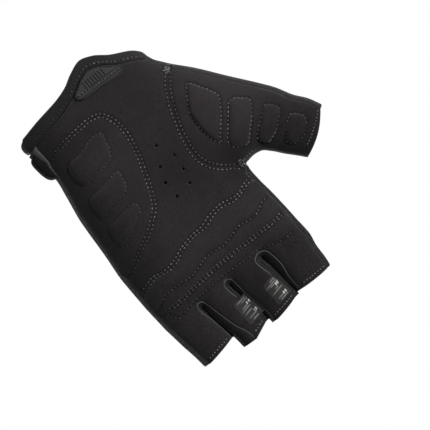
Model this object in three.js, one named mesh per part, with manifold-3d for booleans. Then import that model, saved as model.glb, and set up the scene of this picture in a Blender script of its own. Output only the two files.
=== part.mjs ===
// A fingerless cycling glove for the left hand, cut and sewn from suede and stretch fabric.
// The palm faces -Y, the fingers point to +Z and the thumb stands out to -X.
// The origin is the middle of the wrist opening. Lengths are millimetres.

import * as THREE from 'three';
import { mergeVertices } from 'three/addons/utils/BufferGeometryUtils.js';
import Module from 'manifold-3d';

// Driving sizes of the hand that the glove is cut for
const HAND_WIDTH = 94;
const PALM_LENGTH = 124;
const STALL_LENGTH = 31;
const THUMB_REACH = 52;

// Depths of the filled glove, each from the side seams to the palm or to the back
const PALM_DEPTH = 16;
const BACK_DEPTH = 14.5;
const WRIST_DEPTH = 18;
const STALL_DEPTH = 10.8;
const THUMB_DEPTH = 13;

// How far in from an edge the surface still rounds over
const PALM_ROUNDING = 21;
const WRIST_ROUNDING = 26;
const STALL_ROUNDING = 10.6;
const THUMB_ROUNDING = 14.5;

// How far the finger tips and the thumb curl towards the palm
const FINGER_CURL = 8;
const THUMB_CURL = 7;

// Cloth thicknesses
const SUEDE_WALL = 1.8;
const STRETCH_WALL = 1.3;
const GUSSET_WALL = 1.2;
const CUFF_WALL = 2.2;
const STRIP_WALL = 1.5;
const LABEL_WALL = 1.3;
const TAB_WALL = 1.1;
const STRAP_WALL = 2.4;
const STRAP_FOLD_WALL = 4.2;

// Raised quilting, sewn edges and clearances
const PAD_EDGE = 0.5;
const PAD_RISE = 1.5;
const BAND_RISE = 1.2;
const STRIP_FRONT = 1.8;
const PIPING_FRONT = 2.3;
const STRIP_BACK = 1.2;
const SLIT_WIDTH = 0.6;
const SEAM_GAP = 0.36;
const LAY_GAP = 0.62;
const CUFF_HEIGHT = 7.2;
const CUFF_BACK_HEIGHT = 8;
const AIR_HOLE = 1.5;
const STRAP_WIDTH = 17;
const STRAP_LENGTH = 70;
const STRAP_START = 3.6;

// Heights in the tables: 0 to 1 is the palm's length, 1 to 2 the length of the finger stalls.
const height = (up) => (up <= 1 ? up * PALM_LENGTH : PALM_LENGTH + (up - 1) * STALL_LENGTH);
const rise = (z) => (z <= PALM_LENGTH ? z / PALM_LENGTH : 1 + (z - PALM_LENGTH) / STALL_LENGTH);

// Outline on the little-finger side: across is a share of HAND_WIDTH
const LITTLE_SIDE = [
  { up: -0.3, across: 0.46 },
  { up: -0.02, across: 0.457 },
  { up: 0.02, across: 0.447 },
  { up: 0.09, across: 0.42 },
  { up: 0.17, across: 0.413 },
  { up: 0.26, across: 0.431 },
  { up: 0.39, across: 0.461 },
  { up: 0.57, across: 0.479 },
  { up: 0.72, across: 0.497 },
  { up: 0.85, across: 0.496 },
  { up: 1.0, across: 0.486 },
  { up: 1.43, across: 0.468 },
  { up: 1.7, across: 0.454 },
  { up: 1.95, across: 0.446 },
  { up: 2.4, across: 0.44 },
];

// Outline on the index-finger side, from the thumb's crotch upwards
const INDEX_SIDE = [
  { up: 0.665, across: -0.498 },
  { up: 0.7, across: -0.4925 },
  { up: 0.75, across: -0.495 },
  { up: 0.84, across: -0.506 },
  { up: 0.976, across: -0.514 },
  { up: 1.29, across: -0.519 },
  { up: 1.58, across: -0.503 },
  { up: 1.81, across: -0.499 },
  { up: 2.0, across: -0.4915 },
  { up: 2.4, across: -0.489 },
];

// The palm panel's thumbward edge: hem corner, then the double seam round the ball of the thumb
const THENAR_SEAM = [
  { up: -0.1, across: -0.44 },
  { up: 0.024, across: -0.4617 },
  { up: 0.065, across: -0.495 },
  { up: 0.093, across: -0.519 },
  { up: 0.108, across: -0.53 },
  { up: 0.118, across: -0.505 },
  { up: 0.14, across: -0.478 },
  { up: 0.191, across: -0.427 },
  { up: 0.262, across: -0.3755 },
  { up: 0.3645, across: -0.3255 },
  { up: 0.446, across: -0.302 },
  { up: 0.489, across: -0.299 },
  { up: 0.527, across: -0.304 },
  { up: 0.56, across: -0.3245 },
  { up: 0.589, across: -0.351 },
  { up: 0.6145, across: -0.388 },
  { up: 0.637, across: -0.4277 },
  { up: 0.661, across: -0.495 },
];

// The hand's own side under the thumb, where the back panel meets the thumb's back
const BACK_SEAM = [
  { up: -0.1, across: -0.44 },
  { up: 0.024, across: -0.4617 },
  { up: 0.065, across: -0.495 },
  { up: 0.093, across: -0.519 },
  { up: 0.108, across: -0.53 },
  { up: 0.118, across: -0.508 },
  { up: 0.25, across: -0.485 },
  { up: 0.45, across: -0.478 },
  { up: 0.661, across: -0.495 },
];

// Thumb outlines: out is a share of THUMB_REACH beyond the hand's side, up a share of PALM_LENGTH
const THUMB_OUTER = [
  { out: -0.15, up: -0.3 },
  { out: -0.108, up: -0.1 },
  { out: -0.07, up: 0.024 },
  { out: 0.036, up: 0.093 },
  { out: 0.228, up: 0.189 },
  { out: 0.431, up: 0.305 },
  { out: 0.648, up: 0.426 },
  { out: 0.747, up: 0.486 },
  { out: 0.839, up: 0.561 },
  { out: 0.937, up: 0.619 },
  { out: 1.004, up: 0.68 },
  { out: 1.1, up: 0.78 },
];
const THUMB_INNER = [
  { out: 0.68, up: 0.9 },
  { out: 0.534, up: 0.818 },
  { out: 0.456, up: 0.778 },
  { out: 0.373, up: 0.738 },
  { out: 0.288, up: 0.693 },
  { out: 0.204, up: 0.662 },
  { out: 0.1, up: 0.6555 },
  { out: 0.02, up: 0.6595 },
  { out: -0.0098, up: 0.661 },
];

// Rows of the thumb's cloth: inner 0 to 1 climbs the double seam, 1 to 2 the thumb's inner edge, and
// outer counts the rows of THUMB_OUTER that lie opposite.
const THUMB_ROWS = [
  { inner: 0, outer: 3.3 },
  { inner: 0.13, outer: 4.1 },
  { inner: 0.27, outer: 5.0 },
  { inner: 0.46, outer: 5.5 },
  { inner: 0.61, outer: 6.0 },
  { inner: 0.76, outer: 6.6 },
  { inner: 0.87, outer: 7.3 },
  { inner: 0.96, outer: 7.65 },
  { inner: 1, outer: 7.8 },
  { inner: 1.17, outer: 8.2 },
  { inner: 1.33, outer: 8.6 },
  { inner: 1.5, outer: 9.0 },
  { inner: 1.75, outer: 9.5 },
  { inner: 2, outer: 10 },
];

// The cuts between the fingers: edges of the palm's slit and the line where two stalls meet
const SLITS = [
  {
    name: 'index_middle',
    rows: [
      { up: 1.0, left: -0.226, line: -0.216, right: -0.205 },
      { up: 1.03, left: -0.25, line: -0.217, right: -0.184 },
      { up: 1.1, left: -0.266, line: -0.219, right: -0.168 },
      { up: 1.4, left: -0.279, line: -0.233, right: -0.187 },
      { up: 1.7, left: -0.266, line: -0.24, right: -0.214 },
      { up: 2.0, left: -0.268, line: -0.246, right: -0.223 },
      { up: 2.4, left: -0.268, line: -0.248, right: -0.226 },
    ],
  },
  {
    name: 'middle_ring',
    rows: [
      { up: 1.0, left: 0.022, line: 0.032, right: 0.042 },
      { up: 1.03, left: 0.007, line: 0.031, right: 0.056 },
      { up: 1.1, left: -0.001, line: 0.029, right: 0.064 },
      { up: 1.4, left: -0.009, line: 0.017, right: 0.044 },
      { up: 1.7, left: -0.027, line: -0.007, right: 0.012 },
      { up: 2.0, left: -0.041, line: -0.019, right: 0.003 },
      { up: 2.4, left: -0.046, line: -0.024, right: 0.0 },
    ],
  },
  {
    name: 'ring_little',
    rows: [
      { up: 1.0, left: 0.228, line: 0.238, right: 0.248 },
      { up: 1.03, left: 0.216, line: 0.238, right: 0.26 },
      { up: 1.1, left: 0.208, line: 0.238, right: 0.266 },
      { up: 1.4, left: 0.184, line: 0.231, right: 0.244 },
      { up: 1.7, left: 0.159, line: 0.216, right: 0.228 },
      { up: 2.0, left: 0.119, line: 0.203, right: 0.216 },
      { up: 2.4, left: 0.11, line: 0.198, right: 0.214 },
    ],
  },
];
const CREST_RISE = 4.2;

// Tops of the finger stalls, at each finger's left and right edge
const STALL_TOPS = [
  { left: 1.985, right: 1.97 },
  { left: 2.01, right: 2.105 },
  { left: 2.01, right: 2.12 },
  { left: 1.85, right: 1.945 },
];

// The palm's hem over the cuff: across is a share of HAND_WIDTH, dip a share of PALM_LENGTH
const PALM_HEM = [
  { across: -0.53, dip: 0.03 },
  { across: -0.4607, dip: 0.024 },
  { across: -0.39, dip: -0.0025 },
  { across: -0.298, dip: -0.036 },
  { across: -0.213, dip: -0.081 },
  { across: -0.135, dip: -0.101 },
  { across: -0.05, dip: -0.081 },
  { across: 0.035, dip: -0.048 },
  { across: 0.141, dip: -0.0225 },
  { across: 0.284, dip: -0.0025 },
  { across: 0.454, dip: 0.0137 },
  { across: 0.53, dip: 0.015 },
];
const BACK_HEM = 3;

// Swellings and hollows of the palm side: middle, spread across and along, and rise in millimetres
const MUSCLES = [
  { across: -0.53, up: 0.42, wide: 0.2, tall: 0.22, rise: 3.4 },
  { across: 0.26, up: 0.36, wide: 0.17, tall: 0.25, rise: 3.2 },
  { across: -0.07, up: 0.5, wide: 0.16, tall: 0.2, rise: -3.2 },
  { across: 0.0, up: 0.86, wide: 0.5, tall: 0.09, rise: 1.4 },
];

// Quilted islands of the heel and the thumb: corners as shares of HAND_WIDTH and PALM_LENGTH
const HEEL_PADS = [
  {
    name: 'heel_pad_upper',
    corners: [
      [0.375, 0.585], [0.334, 0.586], [0.228, 0.555], [0.152, 0.522], [0.145, 0.502], [0.171, 0.474],
      [0.265, 0.483], [0.372, 0.493],
    ],
  },
  {
    name: 'heel_pad_middle',
    corners: [
      [0.355, 0.44], [0.265, 0.43], [0.147, 0.414], [0.111, 0.363], [0.105, 0.341], [0.115, 0.322],
      [0.232, 0.334], [0.345, 0.352],
    ],
  },
  {
    name: 'heel_pad_lower',
    corners: [
      [0.32, 0.275], [0.205, 0.27], [0.109, 0.26], [0.082, 0.252], [0.047, 0.194], [0.035, 0.156],
      [0.052, 0.142], [0.185, 0.156], [0.32, 0.18],
    ],
  },
];
const THUMB_PADS = [
  {
    name: 'thumb_pad_1',
    corners: [
      [-0.464, 0.521], [-0.427, 0.456], [-0.423, 0.41], [-0.427, 0.355], [-0.483, 0.269],
      [-0.527, 0.226], [-0.547, 0.228], [-0.583, 0.274], [-0.627, 0.34], [-0.58, 0.413], [-0.506, 0.476],
    ],
  },
  {
    name: 'thumb_pad_2',
    corners: [
      [-0.58, 0.602], [-0.53, 0.588], [-0.494, 0.564], [-0.53, 0.506], [-0.597, 0.448], [-0.68, 0.404],
      [-0.733, 0.433], [-0.753, 0.443], [-0.722, 0.496], [-0.643, 0.559],
    ],
  },
  {
    name: 'thumb_pad_3',
    corners: [
      [-0.68, 0.655], [-0.756, 0.635], [-0.802, 0.604], [-0.855, 0.564], [-0.832, 0.533], [-0.793, 0.516],
      [-0.736, 0.549], [-0.66, 0.592], [-0.639, 0.612], [-0.653, 0.637],
    ],
  },
  {
    name: 'thumb_pad_4',
    corners: [
      [-0.922, 0.684], [-0.935, 0.662], [-0.911, 0.636], [-0.878, 0.619], [-0.8, 0.662], [-0.76, 0.693],
      [-0.783, 0.731], [-0.82, 0.735], [-0.875, 0.72],
    ],
  },
];

// Lines that bound the two quilted rolls under the fingers
const BAND_LINES = [
  { across: -0.47, low: 0.736, lowTop: 0.834, highBottom: 0.845, high: 0.925 },
  { across: -0.33, low: 0.755, lowTop: 0.86, highBottom: 0.871, high: 0.931 },
  { across: -0.2, low: 0.74, lowTop: 0.853, highBottom: 0.863, high: 0.929 },
  { across: -0.08, low: 0.763, lowTop: 0.873, highBottom: 0.882, high: 0.927 },
  { across: 0.03, low: 0.763, lowTop: 0.861, highBottom: 0.871, high: 0.926 },
  { across: 0.19, low: 0.803, lowTop: 0.885, highBottom: 0.893, high: 0.931 },
  { across: 0.34, low: 0.797, lowTop: 0.878, highBottom: 0.888, high: 0.936 },
  { across: 0.435, low: 0.816, lowTop: 0.9, highBottom: 0.909, high: 0.938 },
];

// The pull label on the cuff, and the two finger tabs
const LABEL_LINES = [
  { across: -0.283, top: -0.01, bottom: -0.031 },
  { across: -0.245, top: 0.0, bottom: -0.052 },
  { across: -0.18, top: -0.002, bottom: -0.087 },
  { across: -0.13, top: -0.006, bottom: -0.097 },
  { across: -0.078, top: -0.008, bottom: -0.088 },
  { across: -0.02, top: -0.012, bottom: -0.064 },
  { across: 0.022, top: -0.031, bottom: -0.046 },
];
const PULL_TABS = [
  { name: 'pull_tab_middle', slit: 0, right: -0.1, low: 1.47, high: 1.88, tilt: 0.06 },
  { name: 'pull_tab_ring', slit: 1, right: 0.1, low: 1.4, high: 1.85, tilt: 0.05 },
];

// Air holes in the palm: places as shares of HAND_WIDTH and PALM_LENGTH
const AIR_HOLES = [
  [-0.17, 0.5685], [-0.064, 0.579], [-0.197, 0.5], [-0.064, 0.498], [-0.202, 0.43], [-0.103, 0.429],
  [-0.16, 0.347],
];

// A smooth curve through the rows of a table, with no overshoot between them
function through(rows, key, value, at) {
  const count = rows.length;
  if (at <= rows[0][key]) return rows[0][value];
  if (at >= rows[count - 1][key]) return rows[count - 1][value];
  const steepness = (i) => (rows[i + 1][value] - rows[i][value]) / (rows[i + 1][key] - rows[i][key]);
  const slope = (i) => {
    if (i === 0) return steepness(0);
    if (i === count - 1) return steepness(count - 2);
    const before = steepness(i - 1);
    const after = steepness(i);
    return before * after <= 0 ? 0 : (2 * before * after) / (before + after);
  };
  const i = rows.findIndex((row, index) => index > 0 && at <= row[key]) - 1;
  const span = rows[i + 1][key] - rows[i][key];
  const t = (at - rows[i][key]) / span;
  const s = 1 - t;
  return rows[i][value] * (1 + 2 * t) * s * s + rows[i + 1][value] * (3 - 2 * t) * t * t
    + span * (slope(i) * t * s * s - slope(i + 1) * t * t * s);
}

function edgeAcross(rows, up) {
  return through(rows, 'up', 'across', up);
}

// Where the tables' places lie on the hand, as x and z
const thumbPlace = (out, up) => new THREE.Vector2(-HAND_WIDTH / 2 - out * THUMB_REACH, height(up));
const handPlace = (across, up) => new THREE.Vector2(across * HAND_WIDTH, height(up));
const edgeX = (rows, z) => edgeAcross(rows, rise(z)) * HAND_WIDTH;

function placeOnThumb(rows, at) {
  const counted = rows.map((row, index) => ({ ...row, index }));
  return thumbPlace(through(counted, 'index', 'out', at), through(counted, 'index', 'up', at));
}

// The crest of each web, where two finger stalls part
const crestUp = 1 + CREST_RISE / STALL_LENGTH;
const slitLine = (slit, up) => handPlace(through(slit.rows, 'up', 'line', up), up);

// The lines at which the glove's surface turns from its palm side to its back
const steps = (from, to, count) => Array.from({ length: count + 1 }, (_, i) => from + ((to - from) * i) / count);
const crotchRow = THUMB_INNER.length - 1;
const sideLines = [
  steps(-0.3, 2.4, 70).map((up) => handPlace(edgeAcross(LITTLE_SIDE, up), up)),
  [
    ...steps(0, crotchRow, 56).map((at) => placeOnThumb(THUMB_INNER, at)),
    ...steps(INDEX_SIDE[0].up, 2.4, 50).map((up) => handPlace(edgeAcross(INDEX_SIDE, up), up)),
  ],
  [
    ...steps(-0.3, 0.09, 40).map((up) => handPlace(edgeAcross(THENAR_SEAM, up), up)),
    ...steps(3, THUMB_OUTER.length - 1, 60).map((at) => placeOnThumb(THUMB_OUTER, at)),
  ],
];
const slitLines = SLITS.map((slit) => steps(crestUp, 2.4, 20).map((up) => slitLine(slit, up)));

function distanceTo(line, x, z) {
  let least = Infinity;
  for (let i = 1; i < line.length; i += 1) {
    const alongX = line[i].x - line[i - 1].x;
    const alongZ = line[i].y - line[i - 1].y;
    const share = ((x - line[i - 1].x) * alongX + (z - line[i - 1].y) * alongZ) / (alongX ** 2 + alongZ ** 2);
    const t = THREE.MathUtils.clamp(share, 0, 1);
    least = Math.min(least, Math.hypot(x - line[i - 1].x - t * alongX, z - line[i - 1].y - t * alongZ));
  }
  return least;
}

function distanceFromEdge(x, z) {
  const sides = sideLines.map((line) => distanceTo(line, x, z));
  const slits = slitLines.map((line) => Math.max(distanceTo(line, x, z) - SLIT_WIDTH / 2, 0));
  return Math.min(...sides, ...slits);
}

// How much a place belongs to the thumb, to the finger stalls or to the wrist
const { clamp, lerp, smoothstep } = THREE.MathUtils;
const thumbRoot = thumbPlace(0.21, 0.484);
const thumbMouth = thumbPlace(0.769, 0.749);
const thumbLength = thumbRoot.distanceTo(thumbMouth);
const thumbAxis = thumbMouth.clone().sub(thumbRoot).normalize();

function alongThumb(x, z) {
  const share = ((x - thumbRoot.x) * thumbAxis.x + (z - thumbRoot.y) * thumbAxis.y) / thumbLength;
  const out = (-HAND_WIDTH / 2 - x) / THUMB_REACH;
  return clamp(share, 0, 1.3) * smoothstep(out, 0, 0.35);
}
const ofThumb = (x, z) => smoothstep(alongThumb(x, z), 0, 0.9);
const ofStalls = (z) => smoothstep(z, 0.8 * PALM_LENGTH, 1.08 * PALM_LENGTH);
const ofWrist = (z) => 1 - smoothstep(z, -0.05 * PALM_LENGTH, 0.35 * PALM_LENGTH);

function mixed(x, z, sizes) {
  const hand = lerp(lerp(sizes.palm, sizes.wrist, ofWrist(z)), sizes.stall, ofStalls(z));
  return lerp(hand, sizes.thumb, ofThumb(x, z));
}
const ROUNDINGS = { palm: PALM_ROUNDING, wrist: WRIST_ROUNDING, stall: STALL_ROUNDING, thumb: THUMB_ROUNDING };
const FRONT_DEPTHS = { palm: PALM_DEPTH, wrist: WRIST_DEPTH, stall: STALL_DEPTH, thumb: THUMB_DEPTH };
const BACK_DEPTHS = { ...FRONT_DEPTHS, palm: BACK_DEPTH };

// The surface between the palm side and the back, which the curl of fingers and thumb bends forward
function middleY(x, z) {
  const finger = clamp((z / PALM_LENGTH - 0.8) / 0.45, 0, 1.2);
  return -FINGER_CURL * finger ** 2 * (1 - ofThumb(x, z)) - THUMB_CURL * alongThumb(x, z) ** 2;
}

// A rounded edge: a quarter ellipse over the rounding distance, then level
function fullness(x, z) {
  const share = Math.min(distanceFromEdge(x, z) / mixed(x, z, ROUNDINGS), 1);
  return Math.sqrt(1 - (1 - share) ** 2);
}

function muscleAt(x, z) {
  return MUSCLES.reduce((sum, muscle) => {
    const across = (x / HAND_WIDTH - muscle.across) / muscle.wide;
    const along = (z / PALM_LENGTH - muscle.up) / muscle.tall;
    return sum + muscle.rise * Math.exp(-(across ** 2) - along ** 2);
  }, 0);
}

function palmSide(x, z) {
  const full = fullness(x, z);
  const y = middleY(x, z) - SEAM_GAP / 2 - full * (mixed(x, z, FRONT_DEPTHS) + muscleAt(x, z));
  return new THREE.Vector3(x, y, z);
}

function backSide(x, z) {
  const y = middleY(x, z) + SEAM_GAP / 2 + fullness(x, z) * mixed(x, z, BACK_DEPTHS);
  return new THREE.Vector3(x, y, z);
}

// The outward direction of a surface patch at(u, v), from its slopes along u and v
function slopeNormal(at, us, vs) {
  const step = 1e-4;
  const [uLow, uHigh] = [us[0], us[us.length - 1]];
  const [vLow, vHigh] = [vs[0], vs[vs.length - 1]];
  const slope = (high, low) => at(...high).sub(at(...low));
  return (u, v) => {
    const alongU = slope([Math.min(u + step, uHigh), v], [Math.max(u - step, uLow), v]);
    const alongV = slope([u, Math.min(v + step, vHigh)], [u, Math.max(v - step, vLow)]);
    return alongU.cross(alongV).normalize();
  };
}

// The same for a panel that lies on one side of the glove, read a little inside the panel's edges
function sideNormal(side, placeAt, us, vs) {
  const inside = (at, all) => {
    const [low, high] = [all[0], all[all.length - 1]];
    return lerp(at, (low + high) / 2, 0.006);
  };
  const outwards = side === palmSide ? -1 : 1;
  const reach = 0.02;
  return (u, v) => {
    const { x, y: z } = placeAt(inside(u, us), inside(v, vs));
    const slopeX = (side(x + reach, z).y - side(x - reach, z).y) / (2 * reach);
    const slopeZ = (side(x, z + reach).y - side(x, z - reach).y) / (2 * reach);
    return new THREE.Vector3(-slopeX, 1, -slopeZ).normalize().multiplyScalar(outwards);
  };
}

// A closed piece of cloth. at(u, v) gives its place on the glove's surface, with u by v turning
// outwards. The inner skin lies lift above that surface, and the outer one a wall above the inner.
function cloth(at, us, vs, { wall, lift = -wall, keep = () => true, normalAt = slopeNormal(at, us, vs) }) {
  const wallAt = typeof wall === 'function' ? wall : () => wall;

  const welded = new Map();
  const inner = [];
  const outer = [];
  const vertexAt = (u, v) => {
    const place = at(u, v);
    const key = place.toArray().map((value) => Math.round(value * 1e3)).join();
    if (!welded.has(key)) {
      welded.set(key, inner.length);
      const normal = normalAt(u, v);
      inner.push(place.clone().addScaledVector(normal, lift));
      outer.push(place.clone().addScaledVector(normal, lift + wallAt(u, v)));
    }
    return welded.get(key);
  };

  const faces = [];
  for (let i = 1; i < us.length; i += 1) {
    for (let j = 1; j < vs.length; j += 1) {
      if (keep((us[i - 1] + us[i]) / 2, (vs[j - 1] + vs[j]) / 2)) {
        const a = vertexAt(us[i - 1], vs[j - 1]);
        const b = vertexAt(us[i], vs[j - 1]);
        const c = vertexAt(us[i], vs[j]);
        const d = vertexAt(us[i - 1], vs[j]);
        faces.push([a, b, c], [a, c, d]);
      }
    }
  }
  return closedShell(outer, inner, faces.filter(([a, b, c]) => a !== b && b !== c && c !== a));
}

// The outer faces, the inner faces turned round, and a rim along every free edge
function closedShell(outer, inner, faces) {
  const edges = faces.flatMap(([a, b, c]) => [[a, b], [b, c], [c, a]]);
  const known = new Set(edges.map(([a, b]) => `${a} ${b}`));
  const free = edges.filter(([a, b]) => !known.has(`${b} ${a}`));
  const count = outer.length;
  const triangles = [
    ...faces,
    ...faces.map(([a, b, c]) => [a + count, c + count, b + count]),
    ...free.flatMap(([a, b]) => [[b, a, a + count], [b, a + count, b + count]]),
  ];
  const geometry = new THREE.BufferGeometry();
  geometry.setAttribute('position', new THREE.Float32BufferAttribute(
    [...outer, ...inner].flatMap((point) => point.toArray()),
    3,
  ));
  geometry.setIndex(triangles.flat());
  return geometry;
}

const wasm = await Module();
wasm.setup();

function solidOf(geometry) {
  return new wasm.Manifold(new wasm.Mesh({
    numProp: 3,
    vertProperties: new Float32Array(geometry.getAttribute('position').array),
    triVerts: new Uint32Array(geometry.getIndex().array),
  }));
}

function geometryOf(solid) {
  const mesh = solid.getMesh();
  const geometry = new THREE.BufferGeometry();
  geometry.setAttribute('position', new THREE.Float32BufferAttribute(mesh.vertProperties, 3));
  geometry.setIndex(Array.from(mesh.triVerts));
  return geometry;
}

// Hems and edges shared by the panels
const palmHem = (x) => PALM_LENGTH * through(PALM_HEM, 'across', 'dip', x / HAND_WIDTH);
const STRIP_FOOT = 0.68;
const stripFront = (up) => STRIP_FRONT * smoothstep(up, STRIP_FOOT, HAND_UPS[1]);
const stripBack = (up) => STRIP_BACK * smoothstep(up, STRIP_FOOT, HAND_UPS[1]);
const crotchUp = THENAR_SEAM[THENAR_SEAM.length - 1].up;

function palmLeft(z) {
  const up = rise(z);
  if (up < crotchUp) return edgeX(THENAR_SEAM, z);
  return edgeX(INDEX_SIDE, z) + Math.max(stripFront(up), SEAM_GAP);
}
const palmRight = (z) => edgeX(LITTLE_SIDE, z) - PIPING_FRONT;

function backLeft(z) {
  const up = rise(z);
  if (up < crotchUp) return edgeX(BACK_SEAM, z);
  return edgeX(INDEX_SIDE, z) + Math.max(stripBack(up), SEAM_GAP);
}
const backRight = (z) => edgeX(LITTLE_SIDE, z) - STRIP_BACK;

// The eight edges of the four finger faces, from the index finger's outer edge to the little finger's
const edgeHeight = (edge, v) => {
  const top = STALL_TOPS[Math.floor(edge / 2)][edge % 2 ? 'right' : 'left'];
  return height(1 + (v - 1) * (top - 1));
};
function fingerEdge(edge, v, left, right) {
  const z = edgeHeight(edge, v);
  if (edge === 0) return new THREE.Vector2(left(z), z);
  if (edge === 7) return new THREE.Vector2(right(z), z);
  const slit = SLITS[Math.floor((edge - 1) / 2)];
  return new THREE.Vector2(HAND_WIDTH * through(slit.rows, 'up', edge % 2 ? 'left' : 'right', rise(z)), z);
}

// A place on a hand panel: u from 0 to 7 counts the finger edges, v is 0 at the hem, 1 at the webs
// and 2 at the finger openings. Below the webs the columns keep their shares of the width.
function panelPlace(u, v, left, right, hem) {
  const edge = Math.min(Math.floor(u), 6);
  const share = u - edge;
  const row = Math.max(v, 1);
  const place = fingerEdge(edge, row, left, right).lerp(fingerEdge(edge + 1, row, left, right), share);
  if (v >= 1) return place;
  const webLeft = left(PALM_LENGTH);
  const across = (place.x - webLeft) / (right(PALM_LENGTH) - webLeft);
  for (let pass = 0; pass < 6; pass += 1) {
    place.y = lerp(hem(place.x), PALM_LENGTH, v);
    place.x = lerp(left(place.y), right(place.y), across);
  }
  return place;
}

const inSlit = (u, v) => v > 1 && Math.floor(u) % 2 === 1;
const PALM_COLUMNS = [
  0, 0.12, 0.32, 0.6, 0.85, 1, 2, 2.22, 2.5, 2.78, 3, 4, 4.22, 4.5, 4.78, 5, 6, 6.15, 6.4, 6.68, 6.88, 7,
];
const BACK_COLUMNS = [0, 0.05, 0.18, 0.5, 1, 2, 2.3, 2.7, 3, 4, 4.3, 4.7, 5, 6, 6.5, 6.82, 6.95, 7];
const STALL_ROWS = [1, 1.03, 1.1, 1.25, 1.45, 1.7, 2];
const SEAM_UPS = [0.118, 0.15, 0.191, 0.24, 0.3, 0.3645, 0.43, 0.489, 0.54, 0.58, 0.615, 0.635, 0.65, 0.661];
const HAND_UPS = [0.69, 0.73, 0.8, 0.87, 0.94];
const PALM_UPS = [0.05, 0.093, 0.108, ...SEAM_UPS, ...HAND_UPS];
const seamFoot = SEAM_UPS[0];

// Rows whose left ends lie at the heights listed
function rowsAt(ups, hem, left) {
  const foot = hem(left(hem(-HAND_WIDTH / 2)));
  return [0, ...ups.map((up) => (height(up) - foot) / (PALM_LENGTH - foot)), ...STALL_ROWS];
}

// A panel that lies wholly on one side of the glove
function panelCloth(side, placeAt, us, vs, options) {
  const at = (u, v) => {
    const place = placeAt(u, v);
    return side(place.x, place.y);
  };
  return cloth(at, us, vs, { ...options, normalAt: sideNormal(side, placeAt, us, vs) });
}

function palmPanel() {
  const placeAt = (u, v) => panelPlace(u, v, palmLeft, palmRight, palmHem);
  const skin = panelCloth(palmSide, placeAt, PALM_COLUMNS, rowsAt(PALM_UPS, palmHem, palmLeft), {
    wall: SUEDE_WALL,
    keep: (u, v) => !inSlit(u, v),
  });
  const pierced = AIR_HOLES.reduce((solid, [across, up]) => {
    const place = handPlace(across, up);
    const drill = new THREE.CylinderGeometry(AIR_HOLE / 2, AIR_HOLE / 2, 6 * SUEDE_WALL, 8);
    drill.deleteAttribute('normal');
    drill.deleteAttribute('uv');
    drill.translate(...palmSide(place.x, place.y).toArray());
    return solid.subtract(solidOf(mergeVertices(drill)));
  }, solidOf(skin));
  return geometryOf(pierced);
}

function backPanel() {
  const placeAt = (u, v) => panelPlace(7 - u, v, backLeft, backRight, () => BACK_HEM);
  const columns = BACK_COLUMNS.map((u) => 7 - u).reverse();
  const backUps = [0.05, 0.093, 0.108, ...SEAM_UPS.filter((_, index) => index % 2 === 0), ...HAND_UPS];
  return panelCloth(backSide, placeAt, columns, rowsAt(backUps, () => BACK_HEM, backLeft), {
    wall: STRETCH_WALL,
    keep: (u, v) => !inSlit(7 - u, v),
  });
}

// The thumb's inner edge: up the seam with the hand (0 to 1), then up the thumb to its opening (1 to 2)
function thumbInnerEdge(t, seam) {
  if (t <= 1) {
    const up = lerp(seamFoot, crotchUp, t);
    return handPlace(edgeAcross(seam, up), up);
  }
  return placeOnThumb(THUMB_INNER, lerp(crotchRow, 1, t - 1));
}

// A place moved square to a line, towards the side on its left hand
function beside(lineAt, t, distance) {
  const along = lineAt(t + 1e-3).sub(lineAt(t - 1e-3)).normalize();
  return lineAt(t).add(new THREE.Vector2(-along.y, along.x).multiplyScalar(distance));
}

function thumbPlaceAt(u, t, seam, inset) {
  const outerRow = through(THUMB_ROWS, 'inner', 'outer', t);
  const outer = beside((row) => placeOnThumb(THUMB_OUTER, row), outerRow, -inset);
  const inner = thumbInnerEdge(t, seam);
  const seamGap = 2 * SEAM_GAP * (1 - smoothstep(t, 1, 1.1));
  return outer.lerp(inner, u * (1 - seamGap / outer.distanceTo(inner)));
}

const SEAM_ROWS = SEAM_UPS.map((up) => (up - seamFoot) / (crotchUp - seamFoot));
const THUMB_HEIGHTS = [...SEAM_ROWS, 1.05, 1.12, 1.2, 1.33, 1.5, 1.75, 2];
const THUMB_COLUMNS = [0, 0.1, 0.24, 0.4, 0.57, 0.74, 0.9, 1];

function thumbPanel() {
  const placeAt = (u, t) => thumbPlaceAt(u, t, THENAR_SEAM, STRIP_FRONT);
  return panelCloth(palmSide, placeAt, THUMB_COLUMNS, THUMB_HEIGHTS, { wall: SUEDE_WALL });
}

function thumbBack() {
  const placeAt = (u, t) => thumbPlaceAt(1 - u, t, BACK_SEAM, STRIP_BACK);
  const rows = THUMB_HEIGHTS.filter((_, index) => index < 3 || index % 2 === 0 || index > 7);
  return panelCloth(backSide, placeAt, [0, 0.06, 0.18, 0.36, 0.56, 0.76, 0.9, 1], rows, { wall: STRETCH_WALL });
}

// A strip of cloth turned round an edge: t runs along the edge, and w goes from 0 at its front edge
// over 1 on the outline to 2 at its back edge.
function edgeStrip(lineAt, inwards, ts, frontAt, backAt) {
  const at = (t, w) => {
    const reach = w < 1 ? frontAt(t) * (1 - w) ** 2 : backAt(t) * (w - 1) ** 2;
    const place = beside(lineAt, t, inwards * reach);
    return w < 1 ? palmSide(place.x, place.y) : backSide(place.x, place.y);
  };
  return cloth(at, ts, [0, 0.5, 1, 1.5, 2], { wall: STRIP_WALL });
}

const indexTop = STALL_TOPS[0].left;
const littleTop = STALL_TOPS[3].right;
const PIPING_FOOT = 0.017;

const indexStrip = () => edgeStrip(
  (up) => handPlace(edgeAcross(INDEX_SIDE, up), up),
  -1,
  [...HAND_UPS, ...STALL_ROWS.map((row) => 1 + (row - 1) * (indexTop - 1))],
  (up) => Math.max(stripFront(up) - SEAM_GAP, 0.1),
  (up) => Math.max(stripBack(up) - SEAM_GAP, 0.1),
);

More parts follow.
